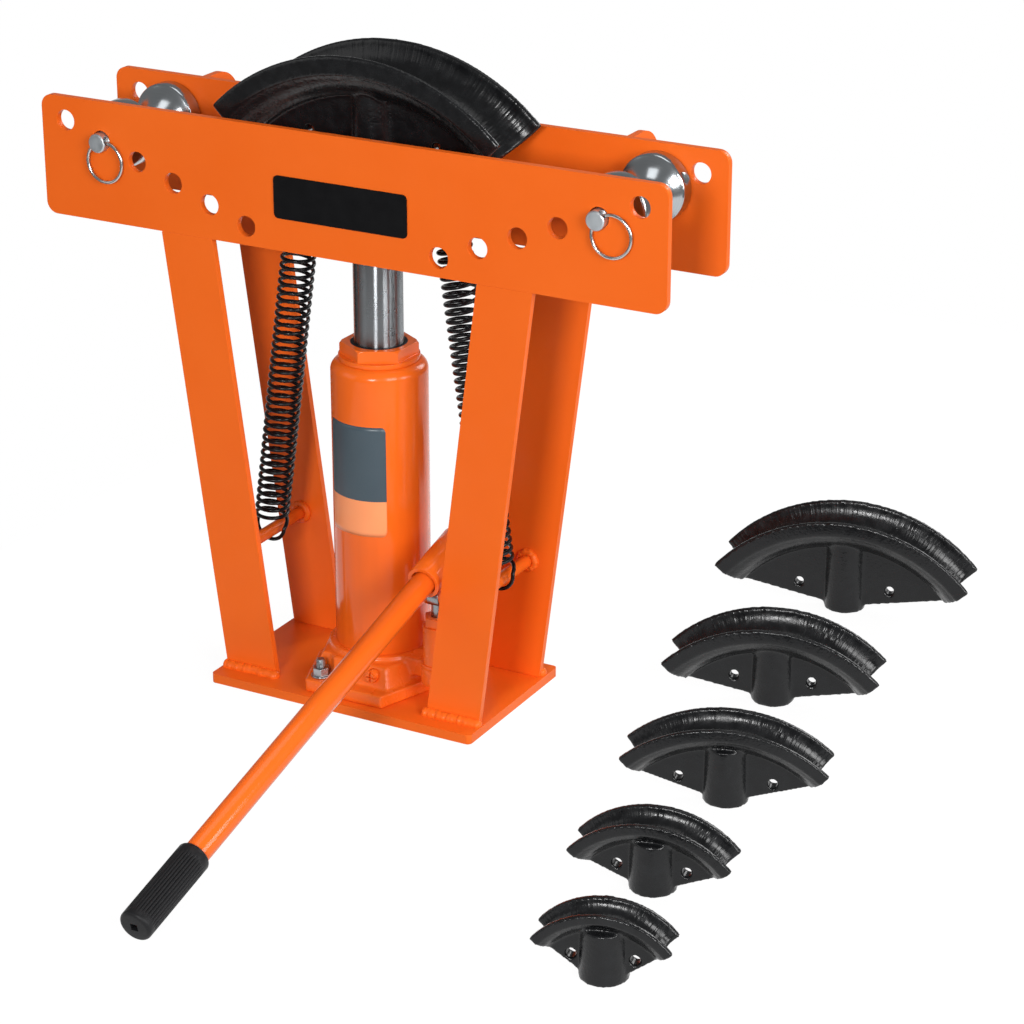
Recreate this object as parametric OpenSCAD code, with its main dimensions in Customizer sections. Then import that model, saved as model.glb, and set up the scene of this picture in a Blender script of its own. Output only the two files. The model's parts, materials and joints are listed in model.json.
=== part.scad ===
// Hydraulic pipe bender: a welded plate frame, a bottle jack with a hand pump, a bending die on the ram,
// two grooved rollers on pull-out pins, two return springs and five loose dies beside it.
// Millimetres. The origin is the centre of the base plate's underside: X runs along the beams, Y to the
// back and Z up.

/* [Frame] */
// Length of each beam plate
beam_len = 560; // [500:1:640]
// Height of each beam plate
beam_h = 99; // [90:0.5:120]
// Height of the beams' top edge above the floor
beam_top = 478; // [465:0.5:520]
// Clear gap between the two beam plates
beam_gap = 97; // [90:0.5:110]
// Thickness of the beam plates and of the leg bars
plate_t = 6; // [4:0.5:8]
// Corner radius of the beam plates
beam_corner_r = 10; // [4:1:20]
// Play of a roller pin in its holes, on the diameter
hole_play = 1.5; // [0.5:0.1:4]
// Distance of the first pin hole from the beam's end
hole_end = 23; // [20:1:30]
// Distance of the first pin hole below the beam's top edge
hole_drop = 19.5; // [18:0.5:26]
// Step between pin holes along the beam
hole_pitch_x = 34; // [30:0.5:38]
// Step between pin holes down the beam
hole_pitch_z = 12.8; // [8:0.2:13]
// Number of pin holes at each end of a beam
hole_count = 6; // [3:1:6]
// Which hole holds the roller pins, counted from the beam's end
roller_hole = 2; // [1:1:4]
// Width of the leg bars, measured along the beam
leg_w = 48; // [40:1:55]
// Distance from the middle plane to a leg's centre line under the beam
leg_top_x = 144; // [130:1:170]
// Distance from the middle plane to a leg's centre line on the base plate
leg_foot_x = 96; // [94:0.5:97]
// Width of the base plate
base_w = 247; // [244:1:300]
// Depth of the base plate
base_d = 150; // [146:1:180]
// Thickness of the base plate
base_t = 8; // [6:0.5:12]
// Corner radius of the base plate
base_corner_r = 4; // [2:0.5:10]
// Leg length of the fillet welds at the feet
weld_leg = 6; // [3:0.5:8]
// Diameter of the bars that hold the springs' lower ends
rod_d = 10.5; // [8:0.5:12]
// Height of those bars
rod_z = 112; // [104:1:125]
// Width of the weld round the end of a bar
rod_weld = 4; // [1.5:0.5:5]
// Distance from the middle plane to a rear foot
foot_x = 194.5; // [185:0.5:230]
// How far a rear foot stands out behind the rear beam
foot_reach = 44; // [36:1:60]
// Height of a rear foot, which ends above the third pin hole
foot_h = 35; // [25:0.5:36]
// Rounding of a rear foot's upper corner
foot_r = 28; // [15:1:31]
// Rounding of a rear foot's lower corner
foot_corner_r = 6; // [3:0.5:7]
// Width of the plain plate on the front beam
plate_w = 120; // [60:1:125]
// Height of the plain plate
plate_h = 34.5; // [20:0.5:40]
// Distance of the plain plate's centre below the beam's top edge
plate_drop = 55; // [50:0.5:65]
// Thickness of the plain plate
plate_skin = 1; // [0.5:0.1:2]
// Corner radius of the plain plate
plate_r = 4; // [2:0.5:8]

/* [Jack] */
// Width of the cast base's flange
flange_w = 112; // [104:1:120]
// Depth of the cast base's flange
flange_d = 134; // [130:1:140]
// Corner cut of the flange, along its front and back edges
flange_cut_x = 20; // [14:1:22]
// Corner cut of the flange, along its sides
flange_cut_y = 56; // [40:1:60]
// Thickness of the flange
flange_h = 11; // [8:0.5:13]
// Height of the cast base
jack_base_h = 32; // [28:1:34]
// Height of the round seat above the cast body
seat_rise = 4; // [2:0.5:8]
// Diameter of the round seat under the tank
seat_d = 90; // [86:1:94]
// Outer diameter of the oil tank
tank_d = 79; // [74:1:82]
// Wall of the oil tank
tank_wall = 3.5; // [2:0.5:5]
// Height of the oil tank
tank_h = 244; // [230:1:246]
// Shoulder radius of the oil tank
tank_shoulder = 9; // [6:0.5:10]
// Outer diameter of the pressure cylinder
cylinder_d = 56; // [54:0.5:58]
// Bore of the pressure cylinder
cylinder_bore = 44; // [42.5:0.5:46]
// Diameter of the ram
ram_d = 40; // [36:0.5:41]
// Height of the ram's shoulder, with the ram as far out as drawn
ram_top = 418; // [405:1:430]
// Length of the ram below its shoulder
ram_len = 268; // [255:1:275]
// Height of the piston on the ram's foot
piston_h = 14; // [10:1:18]
// Width of the piston's seal ring
seal_w = 5; // [3:0.5:6]
// Depth of the piston's seal ring
seal_depth = 3; // [2:0.5:4]
// Diameter of the ram's spigot, which fits the dies
spigot_d = 25; // [20:0.5:26]
// Length of the spigot that enters a die
spigot_len = 30; // [20:1:32]
// Thickness of the cap nut's collar
collar_h = 4; // [3:0.5:6]
// Diameter of the cap nut's collar
collar_d = 66; // [62:1:72]
// Height of the cap nut's hexagon
cap_h = 10; // [8:0.5:14]
// Width of the cap nut across its corners
cap_corners = 64; // [58:1:66]
// Depth of the cap nut's spigot in the tank
cap_reach = 12; // [10:1:16]
// Width of the wiper ring round the ram
wiper_w = 3; // [2:0.5:4]
// Depth of the wiper ring
wiper_h = 3; // [2:0.5:5]
// Diameter of the screws that hold the jack down
screw_d = 8; // [6:0.5:8]
// Sideways distance of those screws
screw_x = 28; // [22:1:29]
// Front and back distance of those screws
screw_y = 54.5; // [53.5:0.5:56]
// Height of a screw's end above the flange
screw_end = 15.5; // [12:0.5:24]
// Width of a nut across its corners
nut_corners = 14.5; // [13:0.5:15]
// Height of a nut
nut_h = 6.5; // [5:0.5:8]
// Thickness of the washer under a nut
washer_h = 1.6; // [1:0.1:3]
// Diameter of the release valve's stem
valve_d = 10; // [8:0.5:12]
// Sideways place of the release valve
valve_x = 20; // [0:1:22]
// Height of the release valve above the base plate
valve_z = 20.5; // [18:0.5:22]
// How far the release valve stands out of the cast base
valve_out = 4; // [2:0.5:8]
// How deep the release valve goes in
valve_depth = 22; // [15:1:26]
// Diameter of the oil plug at the back of the tank
oil_plug_d = 10; // [8:0.5:14]
// Distance of the oil plug below the tank's top
oil_plug_drop = 39; // [30:1:90]

/* [Pump] */
// Sideways place of the pump and the lever
lever_x = 69.5; // [67:0.5:70]
// Front-to-back place of the pump plunger
plunger_y = -29; // [-29.5:0.5:-27]
// Gap between the pump's arm on the cast base and the flange under it
arm_lift = 6; // [3:0.5:8]
// Diameter of the pump plunger
plunger_d = 12; // [10:0.5:14]
// Diameter of the pump's barrel
barrel_d = 26; // [24:0.5:28]
// Height of the pump's barrel
barrel_h = 36; // [32:1:37]
// Height of the plunger's foot above the cast base, with the handle down
plunger_lift = 10; // [8:0.5:14]
// Height of the gland nut on the barrel
gland_h = 8; // [6:0.5:9]
// Width of the gland nut across its corners
gland_corners = 25; // [22:0.5:26]
// Height of the lever's fulcrum above the floor
fulcrum_z = 109; // [108:0.5:114]
// Distance from the fulcrum to the plunger's pin
crank = 28; // [27:0.5:29]
// Diameter of the lever's pins
lever_pin_d = 8; // [6:0.5:9]
// Wall round the pin in the plunger's eye
eye_wall = 3.6; // [3:0.1:4]
// Wall round the pins in the fulcrum link and the lever
link_wall = 4; // [3:0.1:4.5]
// Clearance under the fulcrum link's lower eye
link_lift = 2; // [1:0.5:4]
// Thickness of the fulcrum link and of the plunger's eye
link_t = 10; // [8:0.5:12]
// Thickness of the lever's cheeks
cheek_t = 4; // [3:0.5:5]
// Outer diameter of the lever's socket
socket_d = 28; // [26:0.5:29]
// Bore of the lever's socket
socket_bore = 21.4; // [21:0.1:23]
// Distance from the pins' line to the socket's centre line
socket_rise = 25; // [24.5:0.5:28]
// Length of the socket from the fulcrum towards the handle
socket_front = 45; // [40:1:70]
// Length of the socket behind the fulcrum
socket_back = 14; // [10:1:16]
// Diameter of the handle
handle_d = 20; // [18:0.5:20.5]
// Wall of the handle
handle_wall = 2; // [1.5:0.5:4]
// Reach of the handle from the fulcrum to the grip's end
handle_reach = 465; // [400:1:600]
// Diameter of the grip
grip_d = 26; // [24:0.5:32]
// Length of the grip
grip_len = 79; // [60:1:140]
// Thickness of the grip's end
grip_cap = 4; // [3:0.5:8]
// Side of the square hole in the grip's end
grip_hole = 6; // [4:0.5:8]

/* [Rollers] */
// Diameter of the roller pins
pin_d = 15.5; // [12:0.5:18]
// Chamfer at the ends of a roller pin
pin_edge = 1; // [0.5:0.1:2]
// How far a roller pin stands out at the back
pin_back = 6; // [3:0.5:12]
// Distance of the cross hole from the pin's front end
cross_hole_end = 4.2; // [4:0.1:6]
// Turn of the left-hand pin's cross hole
left_ring_turn = 17; // [0:1:60]
// Turn of the right-hand pin's cross hole
right_ring_turn = 47; // [0:1:60]
// Diameter of the rollers over their flanges
roller_d = 55; // [45:1:57]
// Free length that a roller leaves in the gap between the beams
roller_play = 17; // [1:0.5:20]
// Width of a roller's flanges
roller_flange = 14.5; // [5:0.5:16]
// Chamfer at the ends of a roller
roller_edge = 1.5; // [0.5:0.1:3]
// Diameter of a roller at the middle of its groove
roller_waist = 27; // [24:1:40]
// Wire of the pull rings
ring_wire = 2.75; // [2:0.25:3.5]
// Outer diameter of the pull rings
ring_d = 35.5; // [34:0.5:50]
// Gap between a hanging pull ring and the beam behind it
ring_gap = 1.4; // [1:0.1:6]

/* [Springs] */
// Wire of the return springs
spring_wire = 3.25; // [2:0.25:3.5]
// Outer diameter of the return springs
spring_d = 29.5; // [26:0.5:30]
// Number of curls in each spring
spring_curls = 41; // [20:1:45]
// Rise of the wire between a hook and the first curl
hook_rise = 8; // [7:0.5:12]
// Distance from the ram's axis to a spring's upper hook
hook_x = 65; // [60:1:75]
// Diameter of the hanger's cross pins
hanger_pin_d = 8; // [6:0.5:10]
// Diameter of the hanger's disc
hanger_d = 56; // [50:1:60]
// Thickness of the hanger's disc
hanger_h = 10; // [8:0.5:12]
// Thickness of the hanger's side bars
hanger_bar = 4; // [3:0.5:6]
// Clear gap between the hanger's side bars
hanger_gap = 12; // [10:0.5:16]

/* [Dies] */
// Diameter of the sockets in the dies
die_bore = 25.16; // [25.04:0.02:25.2]
// Depth of the sockets in the dies
die_bore_depth = 33; // [32:0.5:36]
// Wall of a die round its groove
die_wall = 4.8; // [4.4:0.1:6]
// Foot diameter of a die's boss
boss_foot_d = 36; // [34:0.5:38]
// Head diameter of a die's boss
boss_head_d = 34; // [31:0.5:35]
// Thickness of a die's web
web_t = 12; // [8:0.5:12.5]
// Height of the web's lower edge at the boss
web_foot = 4.5; // [2:0.5:8]
// Diameter of the casting holes in a die's web
web_hole_d = 8; // [6:0.5:8.5]
// Outer diameter of the pipe that each die bends, the mounted die first and then down to the smallest
pipe_d = [60.3, 48.3, 42.2, 33.4, 26.7, 21.3]; // [20:0.1:62]
// Radius of each die's rim
rim_r = [182, 146.5, 124.5, 120, 80.5, 64]; // [60:0.5:190]
// Half the angle of each die's arc
arc_half = [45, 50, 46.5, 42.5, 50, 51.5]; // [40:0.5:55]
// Height of each die's rim above the foot of its boss
rim_top = [107.5, 89, 71.5, 67.5, 58, 54]; // [52:0.5:110]
// Sideways distance of each die's casting holes from its boss's axis
web_hole_x = [57.5, 40, 32, 36.5, 26, 22.5]; // [22.5:0.5:60]
// Height of each die's casting holes above the foot of its boss
web_hole_z = [37, 21, 20.5, 18.5, 18, 17]; // [16:0.5:40]
// Place of each loose die on the floor
die_place = [[278, 323], [300, 120], [341, -60], [353, -211], [378.5, -339]];
// Turn of each loose die about the vertical
die_turn = [12, 15, 17, 12, 15.5]; // [0:0.5:30]

/* [Fits] */
// Radial clearance of a turning or sliding fit
run_gap = 0.05; // [0.03:0.01:0.09]
// Clearance between faces that pass each other
face_gap = 0.3; // [0.2:0.05:0.5]
// Clearance of a bolt in its hole, on the radius
bolt_gap = 0.2; // [0.1:0.05:0.4]

/* [Hidden] */
$fn = 96;
paint = "#F26A21";
black = "#1B1C1E";
zinc = "#B9BBBD";
steel = "#8C9094";
rubber = "#242424";

// Frame places
beam_inner_y = beam_gap / 2;
beam_outer_y = beam_inner_y + plate_t;
beam_bottom = beam_top - beam_h;
hole_d = pin_d + hole_play;
foot_top_r = min(foot_r, foot_h - foot_corner_r - 1);
cut = 1;
function hole_x(k) = beam_len / 2 - hole_end - (k - 1) * hole_pitch_x;
function hole_z(k) = beam_top - hole_drop - (k - 1) * hole_pitch_z;
function leg_x(z) = leg_foot_x + (leg_top_x - leg_foot_x) * (z - base_t) / (beam_bottom - base_t);

// Jack places
flange_top = base_t + flange_h;
jack_top = base_t + jack_base_h;
body_top = jack_top - seat_rise;
body_edge_x = 5;
body_edge_y = 12;
body_slope = 6;
body_half_d = flange_d / 2 - body_edge_y;
flange_turn = atan(flange_cut_x / flange_cut_y);
cut_reach = (flange_w / 2 - flange_cut_x) * cos(flange_turn) + flange_d / 2 * sin(flange_turn);
spot_r = nut_corners / 2 + 3;
tank_top = jack_top + tank_h;
cap_foot = tank_top - cap_reach;
cap_top = tank_top + collar_h + cap_h;
cap_spigot_d = cylinder_d + 2;
cap_turn = 28.6;
ram_foot = ram_top - ram_len;
hanger_top = ram_top + hanger_h;
lobe_r = barrel_d / 2 + 2;
lobe_foot = flange_top + arm_lift;

// Pump places: the handle's end rests on the floor, which sets the lever's tilt
floor_gap = 0.05;
grip_drop = socket_rise - grip_d / 2;
lever_tilt = asin((fulcrum_z - floor_gap) / norm([handle_reach, grip_drop])) + atan(grip_drop / handle_reach);
lever_swing = 50;
pin_travel_y = crank * (1 - cos(lever_swing - lever_tilt)) / 2;
fulcrum_y = plunger_y + crank - pin_travel_y;
plunger_pin_z = fulcrum_z - crank * sin(lever_tilt);
eye_r = lever_pin_d / 2 + eye_wall;
slot_r = lever_pin_d / 2 + 0.6;
slot_lift = 0.25;
link_eye_r = lever_pin_d / 2 + link_wall;
link_foot_z = jack_top + link_eye_r + link_lift;
cheek_gap = link_t + 2 * face_gap;
barrel_top = jack_top + barrel_h;
gland_top = barrel_top + gland_h;
plunger_foot = jack_top + plunger_lift;
plunger_spare = 4;
pin_head = 2;
lever_rise = lever_swing - lever_tilt;
flat_len = (link_eye_r + (plunger_d / 2 + pin_travel_y) * sin(lever_rise)) / cos(lever_rise) + 1;

// Roller places: each pin lies at the bottom of its holes and each roller against the rear beam
pin_x = hole_x(roller_hole);
pin_z = hole_z(roller_hole) - (hole_d - pin_d) / 2 + run_gap;
ring_y = -beam_outer_y - ring_gap - ring_wire / 2;
pin_front_y = ring_y - cross_hole_end;
pin_back_y = beam_outer_y + pin_back;
ring_r = (ring_d - ring_wire) / 2;
roller_len = beam_gap - roller_play;
roller_y = beam_inner_y - face_gap - roller_len / 2;

// Spring places: each spring hangs between a bar on the legs and a cross pin on the hanger
hook_r = (spring_d - spring_wire) / 2;
hook_inner_r = hook_r - spring_wire / 2;
hanger_pin_z = ram_top + 2;
spring_foot = [leg_x(rod_z), 0, rod_z];
spring_head = [hook_x, 0, hanger_pin_z];
hook_start = 10;
hook_steps = 9;
curl_rings = 8;
wire_sides = 6;

// Clearance of a pipe in its groove, on the radius
pipe_gap = 0.35;

// Shapes that repeat
module rounded_rect(w, h, r) {
    square([w - 2 * r, h], center = true);
    square([w, h - 2 * r], center = true);
    for (x = [-1, 1], y = [-1, 1])
        translate([x * (w / 2 - r), y * (h / 2 - r)]) circle(r);
}

// A rectangle with its corners cut off by cx along the front and by cy along the sides
module octagon(w, d, cx, cy) {
    polygon([
        [w / 2 - cx, -d / 2], [w / 2, -d / 2 + cy], [w / 2, d / 2 - cy], [w / 2 - cx, d / 2],
        [-w / 2 + cx, d / 2], [-w / 2, d / 2 - cy], [-w / 2, -d / 2 + cy], [-w / 2 + cx, -d / 2]
    ]);
}

// A flat outline in X and Z, from y0 back by t
module y_plate(y0, t) {
    translate([0, y0 + t, 0]) rotate([90, 0, 0]) linear_extrude(t) children();
}

// A flat outline in Y and Z, from x0 to the right by t
module x_plate(x0, t) {
    translate([x0, 0, 0]) rotate([90, 0, 90]) linear_extrude(t) children();
}

module y_cylinder(x, z, y0, y1, r) {
    translate([x, y1, z]) rotate([90, 0, 0]) cylinder(h = y1 - y0, r = r);
}

module x_cylinder(x0, x1, y, z, r) {
    translate([x0, y, z]) rotate([0, 90, 0]) cylinder(h = x1 - x0, r = r);
}

module tube(h, r, bore_r) {
    difference() {
        cylinder(h = h, r = r);
        translate([0, 0, -cut]) cylinder(h = h + 2 * cut, r = bore_r);
    }
}

// Welded frame
module base_plate() {
    color(paint) difference() {
        linear_extrude(base_t) rounded_rect(base_w, base_d, base_corner_r);
        for (s = [-1, 1]) translate([s * screw_x, s * screw_y, 0]) screw_hole();
    }
}

module screw_hole() {
    translate([0, 0, -cut]) cylinder(h = base_t + 2 * cut, r = screw_d / 2 + bolt_gap);
    translate([0, 0, -bolt_gap]) cylinder(h = screw_d / 2, r1 = screw_d, r2 = screw_d / 2);
}

module beam(y0) {
    color(paint) difference() {
        y_plate(y0, plate_t) translate([0, beam_top - beam_h / 2]) rounded_rect(beam_len, beam_h, beam_corner_r);
        for (s = [-1, 1], k = [1 : hole_count])
            y_cylinder(s * hole_x(k), hole_z(k), y0 - cut, y0 + plate_t + cut, hole_d / 2);
    }
}

module front_beam() { beam(-beam_outer_y); }
module rear_beam() { beam(beam_inner_y); }

module leg(s, y0) {
    color(paint) y_plate(y0, plate_t) polygon([
        [s * (leg_foot_x - leg_w / 2), base_t], [s * (leg_foot_x + leg_w / 2), base_t],
        [s * (leg_top_x + leg_w / 2), beam_bottom], [s * (leg_top_x - leg_w / 2), beam_bottom]
    ]);
}

module front_left_leg() { leg(-1, -beam_outer_y); }
module front_right_leg() { leg(1, -beam_outer_y); }
module rear_left_leg() { leg(-1, beam_inner_y); }
module rear_right_leg() { leg(1, beam_inner_y); }

module spring_rod(s) {
    color(paint) y_cylinder(s * leg_x(rod_z), rod_z, -beam_inner_y, beam_inner_y, rod_d / 2);
}

module left_spring_rod() { spring_rod(-1); }
module right_spring_rod() { spring_rod(1); }

// A fillet weld along the outer face of each leg's foot
module foot_welds() {
    color(paint) for (s = [-1, 1], f = [-1, 1])
        x_plate(s * leg_foot_x - leg_w / 2, leg_w) polygon([
            [f * beam_outer_y, base_t], [f * (beam_outer_y + weld_leg), base_t], [f * beam_outer_y, base_t + weld_leg]
        ]);
}

// A ring of weld at each end of the spring bars
module rod_welds() {
    color(paint) for (s = [-1, 1], f = [-1, 1])
        translate([s * leg_x(rod_z), f * beam_inner_y, rod_z]) rotate([f * 90, 0, 0]) difference() {
            cylinder(h = rod_weld, r1 = rod_d / 2 + rod_weld, r2 = rod_d / 2 + 0.5);
            translate([0, 0, -cut]) cylinder(h = rod_weld + 2 * cut, r = rod_d / 2);
        }
}

// A plate that stands out behind the rear beam, so that the bender can lie on its back
module rear_foot(s) {
    color(paint) x_plate(s * foot_x - plate_t / 2, plate_t) translate([beam_outer_y, beam_top - foot_h]) {
        square([foot_reach - foot_top_r, foot_h]);
        square([foot_reach - foot_corner_r, foot_h - foot_top_r]);
        translate([0, foot_corner_r]) square([foot_reach, foot_h - foot_top_r - foot_corner_r]);
        translate([foot_reach - foot_corner_r, foot_corner_r]) circle(foot_corner_r);
        translate([foot_reach - foot_top_r, foot_h - foot_top_r]) intersection() {
            circle(foot_top_r);
            square(foot_top_r);
        }
    }
}

module left_rear_foot() { rear_foot(-1); }
module right_rear_foot() { rear_foot(1); }

module plain_plate() {
    color(black) y_plate(-beam_outer_y - plate_skin, plate_skin)
        translate([0, beam_top - plate_drop]) rounded_rect(plate_w, plate_h, plate_r);
}

// Jack
module sloped_prism(half, len) {
    y_plate(-len / 2, len) polygon([
        [-half, base_t], [half, base_t], [half, flange_top], [half - body_slope, body_top],
        [-half + body_slope, body_top], [-half, flange_top]
    ]);
}

// The casting's body leans in on all sides above the flange
module sloped_body() {
    intersection() {
        sloped_prism(flange_w / 2 - body_edge_x, flange_d);
        rotate([0, 0, 90]) sloped_prism(body_half_d, flange_w);
        rotate([0, 0, flange_turn]) sloped_prism(cut_reach - body_edge_x, 2 * flange_d);
        rotate([0, 0, -flange_turn]) sloped_prism(cut_reach - body_edge_x, 2 * flange_d);
    }
}

// The arm beside the tank, clear of the flange, that carries the pump barrel and the fulcrum link
module pump_lobe() {
    lobe_len = fulcrum_y + link_eye_r + 4 - plunger_y;
    translate([lever_x, plunger_y, lobe_foot]) cylinder(h = jack_top - lobe_foot, r = lobe_r);
    translate([0, plunger_y, lobe_foot]) cube([lever_x + lobe_r, lobe_len, jack_top - lobe_foot]);
    for (s = [-1, 1]) {
        ear_x = lever_x + s * (link_t / 2 + run_gap) - (s < 0 ? cheek_t : 0);
        x_cylinder(ear_x, ear_x + cheek_t, fulcrum_y, link_foot_z, link_eye_r);
        translate([ear_x, fulcrum_y - link_eye_r, jack_top - cut])
            cube([cheek_t, 2 * link_eye_r, link_foot_z - jack_top + cut]);
    }
}

module jack_base() {
    color(paint) difference() {
        union() {
            translate([0, 0, base_t]) linear_extrude(flange_h) octagon(flange_w, flange_d, flange_cut_x, flange_cut_y);
            sloped_body();
            translate([0, 0, base_t]) cylinder(h = jack_base_h, r = seat_d / 2);
            pump_lobe();
        }
        for (s = [-1, 1]) translate([s * screw_x, s * screw_y, 0]) {
            translate([0, 0, base_t - cut]) cylinder(h = flange_h + 2 * cut, r = screw_d / 2 + bolt_gap);
            translate([0, 0, flange_top]) cylinder(h = jack_base_h, r = spot_r);
        }
        y_cylinder(valve_x, base_t + valve_z, -flange_d / 2, valve_inner_y, valve_d / 2 + run_gap);
        x_cylinder(lever_x - link_t - cheek_t, lever_x + link_t + cheek_t, fulcrum_y, link_foot_z,
                   lever_pin_d / 2);
    }
}

// Front face of the cast base at the release valve's height
valve_face_y = body_slope * (base_t + valve_z - flange_top) / (body_top - flange_top) - body_half_d;
valve_inner_y = valve_face_y + valve_depth;

module jack_screws() {
    color(zinc) for (s = [-1, 1]) translate([s * screw_x, s * screw_y, 0]) {
        cylinder(h = flange_top + screw_end - 1, r = screw_d / 2);
        translate([0, 0, flange_top + screw_end - 1]) cylinder(h = 1, r1 = screw_d / 2, r2 = screw_d / 2 - 1);
        cylinder(h = screw_d / 2 - bolt_gap, r1 = screw_d - bolt_gap, r2 = screw_d / 2);
    }
}

module jack_nuts() {
    color(zinc) for (s = [-1, 1]) translate([s * screw_x, s * screw_y, flange_top]) difference() {
        union() {
            cylinder(h = washer_h, r = nut_corners / 2 + 1);
            translate([0, 0, washer_h]) cylinder(h = nut_h, r = nut_corners / 2, $fn = 6);
        }
        translate([0, 0, -cut]) cylinder(h = nut_h + washer_h + 2 * cut, r = screw_d / 2);
    }
}

module pressure_cylinder() {
    color(steel) translate([0, 0, jack_top]) tube(cap_foot - jack_top, cylinder_d / 2, cylinder_bore / 2);
}

// The oil tank: a tube with a rounded shoulder that closes to the cap nut's neck
module oil_tank() {
    r = tank_d / 2;
    color(paint) difference() {
        translate([0, 0, jack_top]) rotate_extrude() {
            square([r, tank_h - tank_shoulder]);
            square([r - tank_shoulder, tank_h]);
            translate([r - tank_shoulder, tank_h - tank_shoulder]) circle(tank_shoulder);
        }
        translate([0, 0, jack_top - cut]) cylinder(h = tank_h - tank_shoulder + cut, r = r - tank_wall);
        translate([0, 0, cap_foot]) cylinder(h = tank_h, r = cap_spigot_d / 2);
        y_cylinder(0, tank_top - oil_plug_drop, 0, r + cut, oil_plug_d / 2);
    }
}

module cap_nut() {
    color(paint) difference() {
        union() {
            translate([0, 0, cap_foot]) cylinder(h = cap_reach, r = cap_spigot_d / 2);
            translate([0, 0, tank_top]) cylinder(h = collar_h, r = collar_d / 2);
            translate([0, 0, tank_top + collar_h]) rotate([0, 0, cap_turn]) intersection() {
                cylinder(h = cap_h, r = cap_corners / 2, $fn = 6);
                cylinder(h = cap_h, r1 = cap_corners / 2 + cap_h - 2, r2 = cap_corners / 2 - 2);
            }
        }
        translate([0, 0, cap_foot - cut]) cylinder(h = cap_top, r = ram_d / 2 + run_gap);
        translate([0, 0, cap_top - wiper_h]) cylinder(h = wiper_h + cut, r = ram_d / 2 + wiper_w);
    }
}

module ram_wiper() {
    color(rubber) translate([0, 0, cap_top - wiper_h]) tube(wiper_h, ram_d / 2 + wiper_w, ram_d / 2 + run_gap);
}

module oil_plug() {
    r = tank_d / 2;
    color(rubber) {
        y_cylinder(0, tank_top - oil_plug_drop, r - tank_wall, r + 1, oil_plug_d / 2);
        y_cylinder(0, tank_top - oil_plug_drop, r + 0.2, r + 2.5, oil_plug_d / 2 + 2);
    }
}

module release_valve() {
    color(paint) difference() {
        union() {
            y_cylinder(valve_x, base_t + valve_z, valve_face_y - valve_out, valve_inner_y - face_gap, valve_d / 2);
            y_cylinder(valve_x, base_t + valve_z, valve_face_y - valve_out - 1, valve_face_y - valve_out, valve_d / 2 - 1);
        }
        for (a = [0, 90]) translate([valve_x, valve_face_y - valve_out, base_t + valve_z]) rotate([0, a, 0])
            cube([valve_d + 2, 4, 1.6], center = true);
    }
}

// Hand pump
module pump_barrel() {
    color(paint) translate([lever_x, plunger_y, jack_top]) difference() {
        union() {
            cylinder(h = barrel_h, r = barrel_d / 2);
            cylinder(h = 3, r = barrel_d / 2 + 1.5);
        }
        translate([0, 0, plunger_lift - plunger_spare]) cylinder(h = barrel_h, r = plunger_d / 2 + run_gap);
    }
}

module pump_gland() {
    color(paint) translate([lever_x, plunger_y, barrel_top]) difference() {
        cylinder(h = gland_h, r = gland_corners / 2, $fn = 6);
        translate([0, 0, -cut]) cylinder(h = gland_h + 2 * cut, r = plunger_d / 2 + run_gap);
    }
}

// The rod's slotted eye lets the lever's pin swing on its arc while the rod runs straight. Two flats under
// the eye let the rod pass between the lever's cheeks.
module pump_plunger() {
    slot_y = pin_travel_y + face_gap;
    eye_x = lever_x - link_t / 2;
    flat_z = plunger_pin_z - flat_len;
    color(steel) difference() {
        union() {
            translate([lever_x, plunger_y, plunger_foot]) cylinder(h = flat_z - plunger_foot, r = plunger_d / 2);
            intersection() {
                translate([lever_x, plunger_y, flat_z - cut]) cylinder(h = flat_len + cut, r = plunger_d / 2);
                translate([eye_x, plunger_y - plunger_d, flat_z - cut])
                    cube([link_t, 2 * plunger_d, flat_len + 2 * cut]);
            }
            for (s = [-1, 1]) x_cylinder(eye_x, eye_x + link_t, plunger_y + s * pin_travel_y, plunger_pin_z, eye_r);
            translate([eye_x, plunger_y - pin_travel_y, plunger_pin_z - eye_r])
                cube([link_t, 2 * pin_travel_y, 2 * eye_r]);
        }
        for (s = [-1, 1]) x_cylinder(eye_x - cut, eye_x + link_t + cut, plunger_y + s * slot_y,
                                     plunger_pin_z + slot_lift, slot_r);
        translate([eye_x - cut, plunger_y - slot_y, plunger_pin_z + slot_lift - slot_r])
            cube([link_t + 2 * cut, 2 * slot_y, 2 * slot_r]);
    }
}

module fulcrum_link() {
    link_x = lever_x - link_t / 2;
    color(paint) difference() {
        union() {
            for (z = [link_foot_z, fulcrum_z]) x_cylinder(link_x, link_x + link_t, fulcrum_y, z, link_eye_r);
            translate([link_x, fulcrum_y - lever_pin_d / 2 - 2, link_foot_z])
                cube([link_t, lever_pin_d + 4, fulcrum_z - link_foot_z]);
        }
        for (z = [link_foot_z, fulcrum_z])
            x_cylinder(link_x - cut, link_x + link_t + cut, fulcrum_y, z, lever_pin_d / 2);
    }
}

// A headed pin along X
module lever_pin(half_len, y, z) {
    x_cylinder(lever_x - half_len, lever_x + half_len, y, z, lever_pin_d / 2);
    x_cylinder(lever_x + half_len, lever_x + half_len + pin_head, y, z, lever_pin_d / 2 + 2);
    x_cylinder(lever_x - half_len - 1, lever_x - half_len, y, z, lever_pin_d / 2 - 1);
}

module link_pin() {
    color(zinc) lever_pin(link_t / 2 + run_gap + cheek_t, fulcrum_y, link_foot_z);
}

module fulcrum_pin() {
    color(zinc) lever_pin(cheek_gap / 2 + cheek_t + face_gap, fulcrum_y, fulcrum_z);
}

// Everything on the lever is drawn with the handle level and the fulcrum at zero, then tilted as one
module on_lever() {
    translate([lever_x, fulcrum_y, fulcrum_z]) rotate([lever_tilt, 0, 0]) children();
}

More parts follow.
